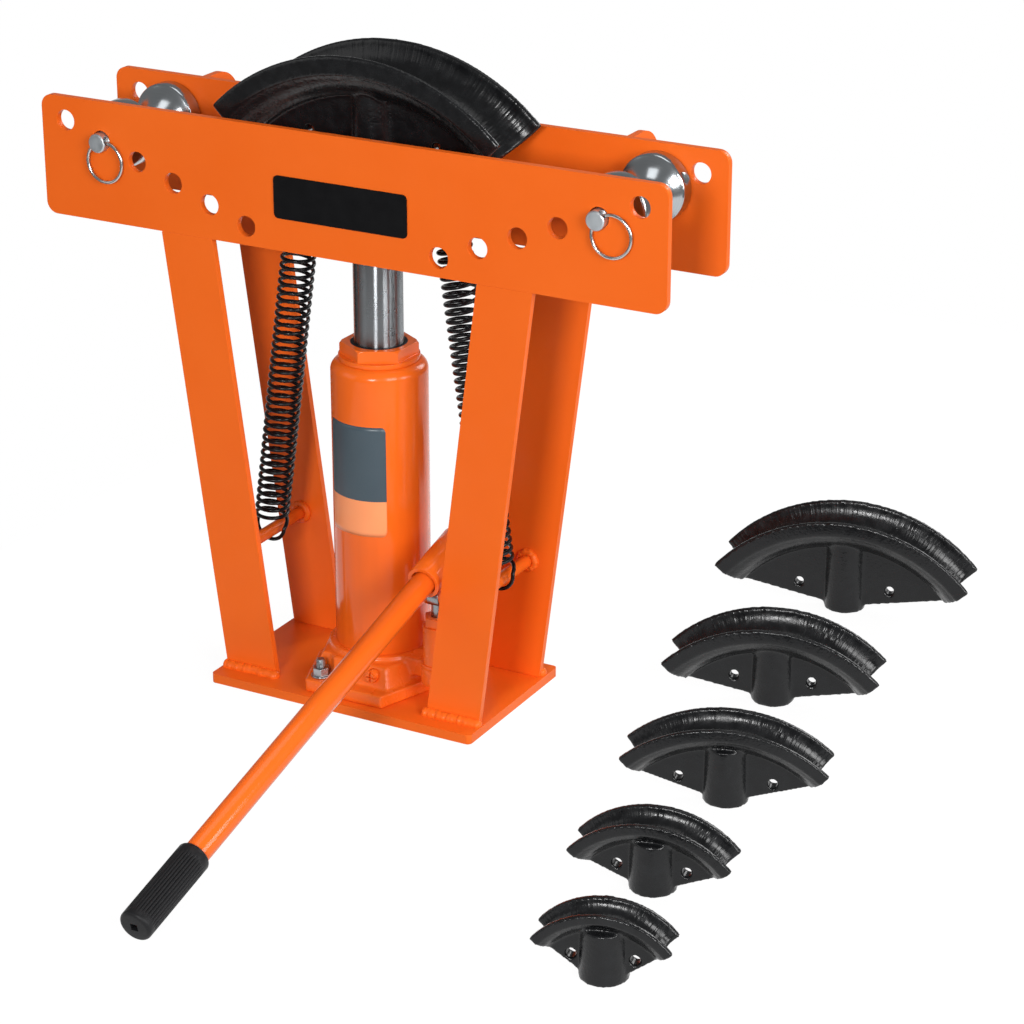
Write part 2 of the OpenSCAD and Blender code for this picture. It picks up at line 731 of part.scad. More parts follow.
module lever_socket() {
    socket_len = socket_front + socket_back;
    color(paint) on_lever() difference() {
        union() {
            translate([0, socket_back, socket_rise]) rotate([90, 0, 0]) cylinder(h = socket_len, r = socket_d / 2);
            for (s = [-1, 1]) {
                cheek_x = s * cheek_gap / 2 - (s < 0 ? cheek_t : 0);
                for (y = [0, -crank]) x_cylinder(cheek_x, cheek_x + cheek_t, y, 0, link_eye_r);
                translate([cheek_x, -crank - link_eye_r, 0])
                    cube([cheek_t, crank + 2 * link_eye_r, socket_rise]);
                translate([cheek_x, -crank, -link_eye_r]) cube([cheek_t, crank, link_eye_r]);
            }
        }
        translate([0, socket_back + cut, socket_rise]) rotate([90, 0, 0])
            cylinder(h = socket_len + 2 * cut, r = socket_bore / 2);
        x_cylinder(-socket_d, socket_d, 0, 0, lever_pin_d / 2 + run_gap);
        x_cylinder(-socket_d, socket_d, -crank, 0, lever_pin_d / 2);
    }
}

module plunger_pin() {
    half_len = cheek_gap / 2 + cheek_t;
    color(zinc) on_lever() {
        x_cylinder(-half_len, half_len, -crank, 0, lever_pin_d / 2);
        x_cylinder(half_len, half_len + pin_head, -crank, 0, lever_pin_d / 2 + 2);
    }
}

module handle_tube() {
    tube_len = handle_reach - grip_cap + socket_back - 4;
    color(paint) on_lever() translate([0, socket_back - 4, socket_rise]) rotate([90, 0, 0])
        tube(tube_len, handle_d / 2, handle_d / 2 - handle_wall);
}

module handle_grip() {
    edge = 2;
    r = grip_d / 2;
    color(rubber) on_lever() translate([0, grip_len - handle_reach, socket_rise]) rotate([90, 0, 0]) difference() {
        union() {
            cylinder(h = edge, r1 = r - edge, r2 = r);
            translate([0, 0, edge]) cylinder(h = grip_len - 2 * edge, r = r);
            translate([0, 0, grip_len - edge]) cylinder(h = edge, r1 = r, r2 = r - edge / 2);
        }
        translate([0, 0, -cut]) cylinder(h = grip_len - grip_cap + cut, r = handle_d / 2);
        translate([-grip_hole / 2, -grip_hole / 2, 0]) cube([grip_hole, grip_hole, grip_len + cut]);
    }
}

// Ram
module ram() {
    edge = 2;
    color(steel) {
        translate([0, 0, ram_foot + piston_h]) cylinder(h = ram_len - piston_h, r = ram_d / 2);
        translate([0, 0, ram_foot]) cylinder(h = piston_h, r = ram_d / 2 - seal_depth - 3);
        translate([0, 0, ram_top]) cylinder(h = hanger_h + spigot_len - edge, r = spigot_d / 2);
        translate([0, 0, hanger_top + spigot_len - edge])
            cylinder(h = edge, r1 = spigot_d / 2, r2 = spigot_d / 2 - edge);
    }
}

module piston() {
    r = cylinder_bore / 2 - run_gap;
    color(steel) translate([0, 0, ram_foot]) difference() {
        tube(piston_h, r, ram_d / 2 - seal_depth - 3);
        translate([0, 0, (piston_h - seal_w) / 2]) tube(seal_w, r + cut, r - seal_depth);
    }
}

module piston_seal() {
    r = cylinder_bore / 2 - run_gap;
    color(rubber) translate([0, 0, ram_foot + (piston_h - seal_w) / 2]) tube(seal_w, r, r - seal_depth);
}

// The hanger: a disc trapped under the die, with side bars and cross pins for the springs' hooks
module spring_hanger() {
    pin_r = hanger_pin_d / 2;
    bar_end = hook_x + pin_r + 4;
    bar_start = ram_d / 2 + 1;
    bar_foot = hanger_pin_z - pin_r - 2;
    color(black) difference() {
        union() {
            translate([0, 0, ram_top]) cylinder(h = hanger_h, r = hanger_d / 2);
            for (s = [-1, 1]) {
                for (f = [-1, 1]) translate([s > 0 ? bar_start : -bar_end,
                                             f * (hanger_gap + hanger_bar) / 2 - hanger_bar / 2, bar_foot])
                    cube([bar_end - bar_start, hanger_bar, hanger_top - bar_foot]);
                y_cylinder(s * hook_x, hanger_pin_z, -hanger_gap / 2 - hanger_bar, hanger_gap / 2 + hanger_bar, pin_r);
            }
        }
        translate([0, 0, ram_top - cut]) cylinder(h = hanger_h + 2 * cut, r = spigot_d / 2);
    }
}

// Rollers on their pins
module roller(s) {
    half = roller_len / 2;
    groove_half = half - roller_flange;
    depth = (roller_d - roller_waist) / 2;
    groove_r = (groove_half * groove_half + depth * depth) / (2 * depth);
    color(zinc) translate([s * pin_x, roller_y, pin_z]) rotate([90, 0, 0]) difference() {
        union() {
            translate([0, 0, roller_edge - half]) cylinder(h = roller_len - 2 * roller_edge, r = roller_d / 2);
            for (a = [0, 180]) rotate([a, 0, 0]) translate([0, 0, half - roller_edge])
                cylinder(h = roller_edge, r1 = roller_d / 2, r2 = roller_d / 2 - roller_edge);
        }
        rotate_extrude() translate([roller_waist / 2 + groove_r, 0]) circle(groove_r);
        translate([0, 0, -half - cut]) cylinder(h = roller_len + 2 * cut, r = pin_d / 2 + run_gap);
    }
}

module left_roller() { roller(-1); }
module right_roller() { roller(1); }

// The cross hole is countersunk from both sides, so that the ring swings freely in it
module roller_pin(s, turn) {
    r = pin_d / 2;
    mouth_half = sqrt(ring_r * ring_r - r * r);
    mouth_gap = 0.25;
    mouth_r = ring_r - mouth_half + ring_wire / 2 * ring_r / mouth_half + mouth_gap;
    seam_turn = 25;
    color(zinc) difference() {
        union() {
            y_cylinder(s * pin_x, pin_z, pin_front_y + pin_edge, pin_back_y - pin_edge, r);
            translate([s * pin_x, pin_front_y + pin_edge, pin_z]) rotate([90, 0, 0])
                cylinder(h = pin_edge, r1 = r, r2 = r - pin_edge);
            translate([s * pin_x, pin_back_y - pin_edge, pin_z]) rotate([-90, 0, 0])
                cylinder(h = pin_edge, r1 = r, r2 = r - pin_edge);
        }
        translate([s * pin_x, ring_y, pin_z]) rotate([0, turn + 90, 0]) rotate([0, 0, seam_turn])
            rotate_extrude() polygon([
                [0, -r - cut], [mouth_r, -r - cut], [mouth_r, -r], [ring_wire / 2 + run_gap, 0], [mouth_r, r],
                [mouth_r, r + cut], [0, r + cut]
            ]);
    }
}

module left_pin() { roller_pin(-1, -left_ring_turn); }
module right_pin() { roller_pin(1, -right_ring_turn); }

module pull_ring(s, turn) {
    color(zinc) translate([s * pin_x, ring_y, pin_z]) rotate([0, turn, 0]) translate([0, 0, -ring_r])
        rotate([90, 0, 0]) rotate_extrude() translate([ring_r, 0]) circle(ring_wire / 2);
}

module left_ring() { pull_ring(-1, -left_ring_turn); }
module right_ring() { pull_ring(1, -right_ring_turn); }

// Springs: one tube through a hook, the curls and the other hook, in the spring's own directions:
// across (in the plane of the frame), along Y, and up the spring
spring_len = norm(spring_head - spring_foot);
foot_hook_s = hook_inner_r - rod_d / 2 - face_gap;
head_hook_s = spring_len - hook_inner_r + hanger_pin_d / 2 + face_gap;
curl_pitch = (head_hook_s - foot_hook_s - 2 * hook_rise) / (spring_curls - 0.5);
quarter = curl_rings / 4;
curl_steps = spring_curls * curl_rings;

function curl_height(i) =
    i < quarter ? hook_rise * (1 - pow(1 - i / quarter, 2))
    : i > curl_steps - quarter
        ? 2 * hook_rise + curl_pitch * (spring_curls - 0.5) - hook_rise * (1 - pow(1 - (curl_steps - i) / quarter, 2))
        : hook_rise + curl_pitch * (i - quarter) / curl_rings;
function on_hook(a, s) = [hook_r * cos(a), 0, s + hook_r * sin(a)];
function hook_angle(k) = hook_start - (180 + hook_start) * k / hook_steps;
spring_path = concat(
    [on_hook(hook_start, foot_hook_s) + [-spring_wire * sin(hook_start), 0, spring_wire * cos(hook_start)]],
    [for (k = [0 : hook_steps - 1]) on_hook(hook_angle(k), foot_hook_s)],
    [for (i = [0 : curl_steps]) [
        hook_r * cos(180 + 360 * i / curl_rings), hook_r * sin(180 + 360 * i / curl_rings),
        foot_hook_s + curl_height(i)]],
    [for (k = [hook_steps - 1 : -1 : 0]) on_hook(-hook_angle(k), head_hook_s)],
    [on_hook(-hook_start, head_hook_s) + [-spring_wire * sin(hook_start), 0, -spring_wire * cos(hook_start)]]
);
path_end = len(spring_path) - 1;

function unit(v) = v / norm(v);
function tangent(i) = unit(spring_path[min(i + 1, path_end)] - spring_path[max(i - 1, 0)]);
// Outward direction of the wire's section: from the hook's centre on a hook, from the axis on a curl
function outward(i) =
    i <= hook_steps ? unit(spring_path[i] - [0, 0, foot_hook_s])
    : i >= path_end - hook_steps ? unit(spring_path[i] - [0, 0, head_hook_s])
    : unit([spring_path[i][0], spring_path[i][1], 0]);
function section(i) = let (
    t = tangent(i),
    n = unit(outward(i) - (outward(i) * t) * t),
    b = cross(t, n)
) [for (k = [0 : wire_sides - 1]) spring_path[i]
    + spring_wire / 2 * (cos(360 * k / wire_sides) * n + sin(360 * k / wire_sides) * b)];

self_gap = min([for (i = [0 : path_end - 5]) for (j = [i + 5 : path_end]) norm(spring_path[i] - spring_path[j])])
    - spring_wire;
echo(spring_least_gap_mm = self_gap);

module return_spring(s) {
    foot = [s * spring_foot[0], 0, spring_foot[2]];
    head = [s * spring_head[0], 0, spring_head[2]];
    up = unit(head - foot);
    across = cross([0, 1, 0], up);
    points = [for (i = [0 : path_end]) for (p = section(i)) foot + p[0] * across + [0, p[1], 0] + p[2] * up];
    function corner(i, k) = i * wire_sides + k % wire_sides;
    sides = [for (i = [0 : path_end - 1]) for (k = [0 : wire_sides - 1]) each [
        [corner(i, k), corner(i + 1, k), corner(i + 1, k + 1)],
        [corner(i, k), corner(i + 1, k + 1), corner(i, k + 1)]
    ]];
    foot_cap = [for (k = [1 : wire_sides - 2]) [corner(0, 0), corner(0, k), corner(0, k + 1)]];
    head_cap = [for (k = [1 : wire_sides - 2]) [corner(path_end, 0), corner(path_end, k + 1), corner(path_end, k)]];
    color(black) polyhedron(points, concat(sides, foot_cap, head_cap));
}

module left_spring() { return_spring(-1); }
module right_spring() { return_spring(1); }

// A cast bending die: an arc with a half-round groove for the pipe, a web and a boss with a socket. The
// arc's section is half an octagon round the groove. Drawn with the foot of its boss at zero.
module bending_die(k) {
    groove_r = pipe_d[k] / 2 + pipe_gap;
    half_t = groove_r + die_wall;
    flat = half_t * tan(22.5);
    inner_r = rim_r[k] - half_t;
    centre_z = rim_top[k] - rim_r[k];
    inner_top = centre_z + inner_r;
    end_x = inner_r * sin(arc_half[k]);
    end_z = centre_z + inner_r * cos(arc_half[k]);
    boss_x = boss_head_d / 2 - cut;
    color(black) difference() {
        union() {
            translate([0, 0, centre_z]) rotate([90, 0, 0]) rotate([0, 0, 90 - arc_half[k]])
                rotate_extrude(angle = 2 * arc_half[k]) translate([rim_r[k], 0]) polygon([
                    [0, half_t], [-flat, half_t], [-half_t, flat], [-half_t, -flat], [-flat, -half_t], [0, -half_t]
                ]);
            intersection() {
                y_cylinder(0, centre_z, -web_t / 2, web_t / 2, inner_r + cut);
                y_plate(-web_t / 2, web_t) polygon([
                    [-end_x, end_z], [-boss_x, web_foot], [boss_x, web_foot], [end_x, end_z],
                    [end_x, inner_top + cut], [-end_x, inner_top + cut]
                ]);
            }
            cylinder(h = inner_top + cut, r1 = boss_foot_d / 2, r2 = boss_head_d / 2);
        }
        translate([0, 0, centre_z]) rotate([90, 0, 0]) rotate_extrude() translate([rim_r[k], 0]) circle(groove_r);
        translate([0, 0, -cut]) cylinder(h = die_bore_depth + cut, r = die_bore / 2);
        for (s = [-1, 1]) y_cylinder(s * web_hole_x[k], web_hole_z[k], -web_t, web_t, web_hole_d / 2);
    }
}

module die_2_inch() {
    translate([0, 0, hanger_top]) bending_die(0);
}

module loose_die(k) {
    place = die_place[k - 1];
    translate([place[0], place[1], 0]) rotate([0, 0, die_turn[k - 1]]) bending_die(k);
}

module die_1_1_2_inch() { loose_die(1); }
module die_1_1_4_inch() { loose_die(2); }
module die_1_inch() { loose_die(3); }
module die_3_4_inch() { loose_die(4); }
module die_1_2_inch() { loose_die(5); }

base_plate();
front_beam();
rear_beam();
front_left_leg();
front_right_leg();
rear_left_leg();
rear_right_leg();
left_spring_rod();
right_spring_rod();
foot_welds();
rod_welds();
left_rear_foot();
right_rear_foot();
plain_plate();
jack_base();
jack_screws();
jack_nuts();
pressure_cylinder();
oil_tank();
cap_nut();
ram_wiper();
oil_plug();
pump_barrel();
pump_gland();
fulcrum_link();
link_pin();
fulcrum_pin();
ram();
piston();
piston_seal();
spring_hanger();
left_spring();
right_spring();
die_2_inch();
left_roller();
right_roller();
left_pin();
right_pin();
left_ring();
right_ring();
lever_socket();
plunger_pin();
handle_tube();
handle_grip();
pump_plunger();
release_valve();
die_1_1_2_inch();
die_1_1_4_inch();
die_1_inch();
die_3_4_inch();
die_1_2_inch();
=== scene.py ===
"""A hydraulic pipe bender: orange frame, hand-pumped bottle jack, bending die, rollers and loose dies.

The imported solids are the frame. Each section dresses one piece or one group of like pieces, in the order in
which the bender is put together.
"""
import json
import math

import bmesh
import bpy
from mathutils import Matrix, Vector

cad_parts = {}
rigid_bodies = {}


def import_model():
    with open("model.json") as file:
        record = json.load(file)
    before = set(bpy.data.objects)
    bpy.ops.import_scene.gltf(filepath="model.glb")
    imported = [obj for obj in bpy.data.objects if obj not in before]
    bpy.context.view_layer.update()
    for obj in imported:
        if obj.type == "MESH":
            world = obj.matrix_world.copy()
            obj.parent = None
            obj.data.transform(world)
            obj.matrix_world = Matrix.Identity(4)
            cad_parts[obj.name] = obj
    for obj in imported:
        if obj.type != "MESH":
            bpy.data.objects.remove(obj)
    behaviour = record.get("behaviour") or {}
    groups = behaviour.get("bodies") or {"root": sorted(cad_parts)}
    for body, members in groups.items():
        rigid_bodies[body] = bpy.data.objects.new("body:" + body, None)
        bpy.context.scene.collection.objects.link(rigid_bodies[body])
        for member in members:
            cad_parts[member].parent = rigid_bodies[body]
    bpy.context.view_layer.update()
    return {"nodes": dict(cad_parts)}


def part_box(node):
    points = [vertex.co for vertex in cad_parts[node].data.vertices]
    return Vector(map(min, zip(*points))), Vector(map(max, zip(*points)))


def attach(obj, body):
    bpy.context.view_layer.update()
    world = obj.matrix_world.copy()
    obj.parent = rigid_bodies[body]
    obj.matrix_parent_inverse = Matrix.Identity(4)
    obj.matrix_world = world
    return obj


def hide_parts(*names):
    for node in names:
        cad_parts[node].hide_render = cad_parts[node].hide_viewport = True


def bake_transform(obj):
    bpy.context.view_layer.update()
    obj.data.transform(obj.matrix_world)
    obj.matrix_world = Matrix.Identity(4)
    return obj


for left_over in list(bpy.data.objects):
    bpy.data.objects.remove(left_over)
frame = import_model()
nodes = frame["nodes"]
mm = 0.001

# Studio
# A white photographer's table under soft boxes, seen through a long lens from the front right.
# The table and the far wall read as plain white, and the table still takes the bender's soft shadow.


def linear(code):
    """A colour written as sRGB hex, as the linear values that the shaders read."""
    parts = [int(code[i:i + 2], 16) / 255 for i in (1, 3, 5)]
    return [c / 12.92 if c <= 0.04045 else ((c + 0.055) / 1.055) ** 2.4 for c in parts] + [1]


def add_node(tree, kind, inputs=None, **settings):
    """Adds a node with its settings; an input is a value or another node's output socket."""
    node = tree.nodes.new(kind)
    for name, value in settings.items():
        setattr(node, name, value)
    for key, value in (inputs or {}).items():
        if isinstance(value, bpy.types.NodeSocket):
            tree.links.new(value, node.inputs[key])
        else:
            node.inputs[key].default_value = value
    return node


def maths(tree, operation, first, second=0.5):
    """The result of one sum on values or other nodes' outputs."""
    return add_node(tree, "ShaderNodeMath", {0: first, 1: second}, operation=operation).outputs[0]


def new_material(name):
    """An empty material, its node tree and its output node."""
    material = bpy.data.materials.new(name)
    material.use_nodes = True
    material.node_tree.nodes.clear()
    return material, material.node_tree, add_node(material.node_tree, "ShaderNodeOutputMaterial")


def seen_directly(tree):
    """One for rays that show the backdrop: from the camera, off a shiny surface or through glass."""
    path = add_node(tree, "ShaderNodeLightPath").outputs
    shiny = maths(tree, "MAXIMUM", path["Is Camera Ray"], path["Is Glossy Ray"])
    return maths(tree, "MAXIMUM", shiny, path["Is Transmission Ray"])


def place_mesh(name, points, faces, material):
    """A mesh object at the origin, with its place in its points (metres)."""
    mesh = bpy.data.meshes.new(name)
    mesh.from_pydata([tuple(p) for p in points], [], faces)
    mesh.materials.append(material)
    piece = bpy.data.objects.new(name, mesh)
    bpy.context.scene.collection.objects.link(piece)
    return piece


table_white, tree, out = new_material("white_studio_table")
bounce = add_node(tree, "ShaderNodeBsdfDiffuse", {"Color": linear("#8A8A8A")})
shaded = add_node(tree, "ShaderNodeBsdfDiffuse", {"Color": linear("#FFFFFF")})
glow = add_node(tree, "ShaderNodeEmission", {"Color": linear("#FFFFFF"), "Strength": 1.04})
lit_white = add_node(tree, "ShaderNodeMixShader", {0: 0.91, 1: shaded.outputs[0], 2: glow.outputs[0]})
table_mix = add_node(tree, "ShaderNodeMixShader",
                     {0: seen_directly(tree), 1: bounce.outputs[0], 2: lit_white.outputs[0]})
tree.links.new(table_mix.outputs[0], out.inputs["Surface"])
table_left, table_right, table_front, table_back = -0.45, 1.25, -1.1, 1.1
table = place_mesh("studio_table", [(table_left, table_front, 0), (table_right, table_front, 0),
                                    (table_right, table_back, 0), (table_left, table_back, 0)],
                   [(0, 1, 2, 3)], table_white)

room_level = 0.18
dim_wall_level = 0.22
far_wall_way = (-0.40, 0.73, -0.55)
room = bpy.data.worlds.new("studio_room")
bpy.context.scene.world = room
room.use_nodes = True
tree = room.node_tree
tree.nodes.clear()
room_light = add_node(tree, "ShaderNodeBackground", {"Color": linear("#FFFFFF"), "Strength": room_level})
way = add_node(tree, "ShaderNodeTexCoord").outputs["Generated"]
to_wall = add_node(tree, "ShaderNodeVectorMath", {0: way, 1: far_wall_way}, operation="DOT_PRODUCT")
wall_edge = add_node(tree, "ShaderNodeMapRange", {
    "Value": to_wall.outputs["Value"], "From Min": 0.7, "From Max": 0.92,
    "To Min": dim_wall_level, "To Max": 1.0})
behind = add_node(tree, "ShaderNodeLightPath").outputs["Is Camera Ray"]
white = maths(tree, "MAXIMUM", behind, wall_edge.outputs["Result"])
wall = add_node(tree, "ShaderNodeBackground", {"Color": linear("#FFFFFF"), "Strength": white})
room_mix = add_node(tree, "ShaderNodeMixShader",
                    {0: seen_directly(tree), 1: room_light.outputs[0], 2: wall.outputs[0]})
add_node(tree, "ShaderNodeOutputWorld", {"Surface": room_mix.outputs[0]})

soft_boxes = {
    "key_soft_box": ((0.75, -3.05, 1.3), (0.0, 0.0, 0.25), 0.6, 53),
    "fill_soft_box": ((-2.2, -2.0, 1.4), (0.0, 0.0, 0.25), 1.8, 10),
    "side_soft_box": ((2.7, -1.6, 1.4), (0.1, 0.0, 0.25), 1.2, 56),
    "right_soft_box": ((3.0, 0.2, 1.0), (0.0, 0.0, 0.25), 1.2, 36),
    "top_soft_box": ((0.3, 0.4, 3.0), (0.1, 0.0, 0.2), 1.6, 13),
    "back_soft_box": ((1.0, 2.8, 1.6), (0.2, 0.0, 0.2), 1.2, 32),
}
for name, (spot, aim, size, watts) in soft_boxes.items():
    lamp = bpy.data.lights.new(name, "AREA")
    lamp.shape = "SQUARE"
    lamp.size = size
    lamp.energy = watts
    holder = bpy.data.objects.new(name, lamp)
    holder.location = spot
    holder.rotation_euler = (Vector(aim) - Vector(spot)).to_track_quat("-Z", "Y").to_euler()
    bpy.context.scene.collection.objects.link(holder)

looked_at = Vector((0.121, 0, 0.17361))
lens = bpy.data.cameras.new("long_lens")
lens.lens = 107.69
lens.sensor_width = 36
lens.clip_end = 50
camera = bpy.data.objects.new("long_lens", lens)
camera.location = (1.2034, -1.9834, 1.0923)
camera.rotation_euler = (looked_at - camera.location).to_track_quat("-Z", "Y").to_euler()
bpy.context.scene.collection.objects.link(camera)
bpy.context.scene.camera = camera
bpy.context.scene.view_settings.view_transform = "Standard"

# Frame plates
# Two sawn steel plates with punched pin holes stand on four flat-bar legs, welded to a base plate.
# Everything is sprayed with one coat of glossy orange enamel, which rounds every edge a little.


def noise(tree, place, size_mm, detail):
    """Soft noise with patches of about one size."""
    settings = {"Vector": place, "Scale": 1 / (size_mm * mm), "Detail": detail}
    return add_node(tree, "ShaderNodeTexNoise", settings).outputs["Fac"]


def between(tree, factor, first, second):
    """A colour between two colours, both linear values or other nodes' outputs."""
    ends = {"Factor": factor, "A": first, "B": second}
    return add_node(tree, "ShaderNodeMix", ends, data_type="RGBA").outputs["Result"]


def bumps(tree, height, strength, depth_mm, under=None):
    """Normals roughened by a height, on top of other bumps where some are given."""
    inputs = {"Height": height, "Strength": strength, "Distance": depth_mm * mm}
    if under is not None:
        inputs["Normal"] = under
    return add_node(tree, "ShaderNodeBump", inputs).outputs["Normal"]


def drifting_gloss(tree, patches, low, high):
    """Roughness that drifts from patch to patch."""
    span = {"Value": patches, "From Min": 0.3, "From Max": 0.7, "To Min": low, "To Max": high}
    return add_node(tree, "ShaderNodeMapRange", span).outputs["Result"]


def coat(tree, out, look):
    """The finished surface, joined to the material's output."""
    surface = add_node(tree, "ShaderNodeBsdfPrincipled", look)
    tree.links.new(surface.outputs[0], out.inputs["Surface"])


def orange_enamel(name, grain_mm, grain_depth_mm, gloss, shine):
    """Sprayed orange enamel: a faint drift of tone, orange peel or the casting's grain, and clear gloss."""
    material, tree, out = new_material(name)
    place = add_node(tree, "ShaderNodeTexCoord").outputs["Object"]
    tone = between(tree, noise(tree, place, 90, 3.0), linear("#EC6315"), linear("#F46E21"))
    skin = bumps(tree, noise(tree, place, grain_mm, 2.0), 0.5, grain_depth_mm)
    rough = drifting_gloss(tree, noise(tree, place, 24, 4.0), gloss, gloss + 0.12)
    coat(tree, out, {"Base Color": tone, "Roughness": rough, "Normal": skin, "Specular IOR Level": shine})
    return material


def dress(names, material, edge_mm):
    """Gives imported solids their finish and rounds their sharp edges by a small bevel."""
    for name in names:
        solid = nodes[name]
        solid.data.materials.clear()
        solid.data.materials.append(material)
        join = solid.modifiers.new("joined_faces", "WELD")
        join.merge_threshold = 0.001 * mm
        edge = solid.modifiers.new("rounded_edges", "BEVEL")
        edge.width = edge_mm * mm
        edge.segments = 2
        edge.limit_method = "ANGLE"
        edge.angle_limit = math.radians(35)
        edge.harden_normals = True


frame_enamel = orange_enamel("orange_enamel_on_plate", grain_mm=2.6, grain_depth_mm=0.012, gloss=0.3,
                             shine=0.22)
dress(["base_plate", "front_beam", "rear_beam", "front_left_leg", "front_right_leg", "rear_left_leg",
       "rear_right_leg", "left_rear_foot", "right_rear_foot", "left_spring_rod", "right_spring_rod"],
      frame_enamel, edge_mm=0.9)

# Weld beads
# Hand-laid fillet welds hold the legs to the base plate and the spring bars to the legs. Each bead is a row
# of overlapping puddles, painted with the frame.


def new_tree(name, rows):
    """A Geometry Nodes tree with named inputs: the tree, the inputs' identifiers and their sockets."""
    tree = bpy.data.node_groups.new(name, "GeometryNodeTree")
    tree.interface.new_socket("Geometry", in_out="OUTPUT", socket_type="NodeSocketGeometry")
    named = {}
    for label, kind in rows:
        socket = tree.interface.new_socket(label, in_out="INPUT", socket_type="NodeSocket" + kind)
        named[label] = socket.identifier
    return tree, named, add_node(tree, "NodeGroupInput").outputs


def end_tree(tree, geometry, material):
    """Makes the tree's result one real mesh with its finish."""
    whole = add_node(tree, "GeometryNodeRealizeInstances", {"Geometry": geometry})
    finished = add_node(tree, "GeometryNodeSetMaterial", {
        "Geometry": whole.outputs[0], "Material": material})
    add_node(tree, "NodeGroupOutput", {0: finished.outputs[0]})


def grow(piece, tree, named, values):
    """Runs a tree on a piece, with the tree's inputs set."""
    growth = piece.modifiers.new(tree.name, "NODES")
    growth.node_group = tree
    for label, value in values.items():
        growth[named[label]] = value


def place_path(name, points, edges):
    """Points and edges at the origin, for a tree to build on."""
    mesh = bpy.data.meshes.new(name)
    mesh.from_pydata(points, edges, [])
    path = bpy.data.objects.new(name, mesh)
    bpy.context.scene.collection.objects.link(path)
    return path


def bake(piece):
    """Turns what the modifiers make into the piece's own plain mesh."""
    mesh = bpy.data.meshes.new_from_object(piece.evaluated_get(bpy.context.evaluated_depsgraph_get()))
    piece.modifiers.clear()
    piece.data = mesh


def fuse(piece, voxel_mm, rounds, material):
    """Turns overlapping shapes into one smoothed skin with its finish."""
    skin = piece.modifiers.new("one_skin", "REMESH")
    skin.mode = "VOXEL"
    skin.voxel_size = voxel_mm * mm
    skin.use_smooth_shade = True
    settle = piece.modifiers.new("settled", "SMOOTH")
    settle.iterations = rounds
    bake(piece)
    piece.data.materials.clear()
    piece.data.materials.append(material)


bead_tree, bead_input, given = new_tree("weld_bead", [
    ("Joint", "Geometry"), ("Puddle step", "Float"), ("Puddle radius", "Float"), ("Seed", "Int"),
    ("Material", "Material")])
joint_line = add_node(bead_tree, "GeometryNodeMeshToCurve", {"Mesh": given["Joint"]})
puddles = add_node(bead_tree, "GeometryNodeCurveToPoints", {
    "Curve": joint_line.outputs[0], "Length": given["Puddle step"]}, mode="LENGTH")
drop = add_node(bead_tree, "GeometryNodeMeshIcoSphere", {
    "Radius": given["Puddle radius"], "Subdivisions": 3})
uneven = add_node(bead_tree, "FunctionNodeRandomValue", {
    0: (0.85, 0.85, 0.6), 1: (1.15, 1.1, 0.8), "Seed": given["Seed"]}, data_type="FLOAT_VECTOR")
laid = add_node(bead_tree, "GeometryNodeInstanceOnPoints", {
    "Points": puddles.outputs["Points"], "Instance": drop.outputs["Mesh"],
    "Rotation": puddles.outputs["Rotation"], "Scale": uneven.outputs[0]})
end_tree(bead_tree, laid.outputs[0], given["Material"])


def lay_bead(name, lines, step_mm, radius_mm, seed, node):
    """A weld bead along each line of points, fused into one skin."""
    points = [p for line in lines for p in line]
    edges = []
    for line in lines:
        first = points.index(line[0])
        edges += [(first + i, first + i + 1) for i in range(len(line) - 1)]
    piece = place_path(name, points, edges)
    grow(piece, bead_tree, bead_input, {"Puddle step": step_mm * mm, "Puddle radius": radius_mm * mm,
                                        "Seed": seed, "Material": frame_enamel})
    fuse(piece, 0.4, 20, frame_enamel)
    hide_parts(node)
    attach(piece, "frame")


leg_w = 48 * mm
bead_off = 1.0 * mm
foot_steps = 6
foot_lines = []
for leg in ("front_left_leg", "front_right_leg", "rear_left_leg", "rear_right_leg"):
    low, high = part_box(leg)
    foot_y = low.y - bead_off if low.y < 0 else high.y + bead_off
    inner_x = low.x if low.x > 0 else high.x - leg_w
    foot_lines.append([(inner_x + leg_w * i / foot_steps, foot_y, low.z + bead_off)
                       for i in range(foot_steps + 1)])
lay_bead("foot_weld_beads", foot_lines, step_mm=1.6, radius_mm=4.8, seed=4, node="foot_welds")

ring_off = 1.6 * mm
ring_steps = 32
apart = 1e-7
ring_lines = []
for bar in ("left_spring_rod", "right_spring_rod"):
    low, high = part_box(bar)
    middle = (low + high) / 2
    ring_r = (high.z - low.z) / 2 + ring_off
    for end_y in (low.y + bead_off, high.y - bead_off):
        line = []
        for i in range(ring_steps + 1):
            turn = math.tau * i / ring_steps
            line.append((middle.x + ring_r * math.cos(turn), end_y + apart * i,
                         middle.z + ring_r * math.sin(turn)))
        ring_lines.append(line)
lay_bead("bar_weld_beads", ring_lines, step_mm=1.5, radius_mm=3.2, seed=9, node="rod_welds")

# Plain plate
# A thin pressed plate on the front beam, stoved black and left bare, with a soft sheen.


def black_enamel(name, code, grain_mm, grain_depth_mm, gloss, metal, shine):
    """Black paint or rubber: a little paler where it is thin, with its own fine grain and gloss."""
    material, tree, out = new_material(name)
    place = add_node(tree, "ShaderNodeTexCoord").outputs["Object"]
    grain = noise(tree, place, grain_mm, 5.0)
    tone = between(tree, grain, linear("#0B0B0C"), linear(code))
    skin = bumps(tree, grain, 0.7, grain_depth_mm)
    rough = drifting_gloss(tree, noise(tree, place, 9, 4.0), gloss, gloss + 0.16)
    coat(tree, out, {"Base Color": tone, "Roughness": rough, "Normal": skin, "Metallic": metal,
                     "Specular IOR Level": shine})
    return material


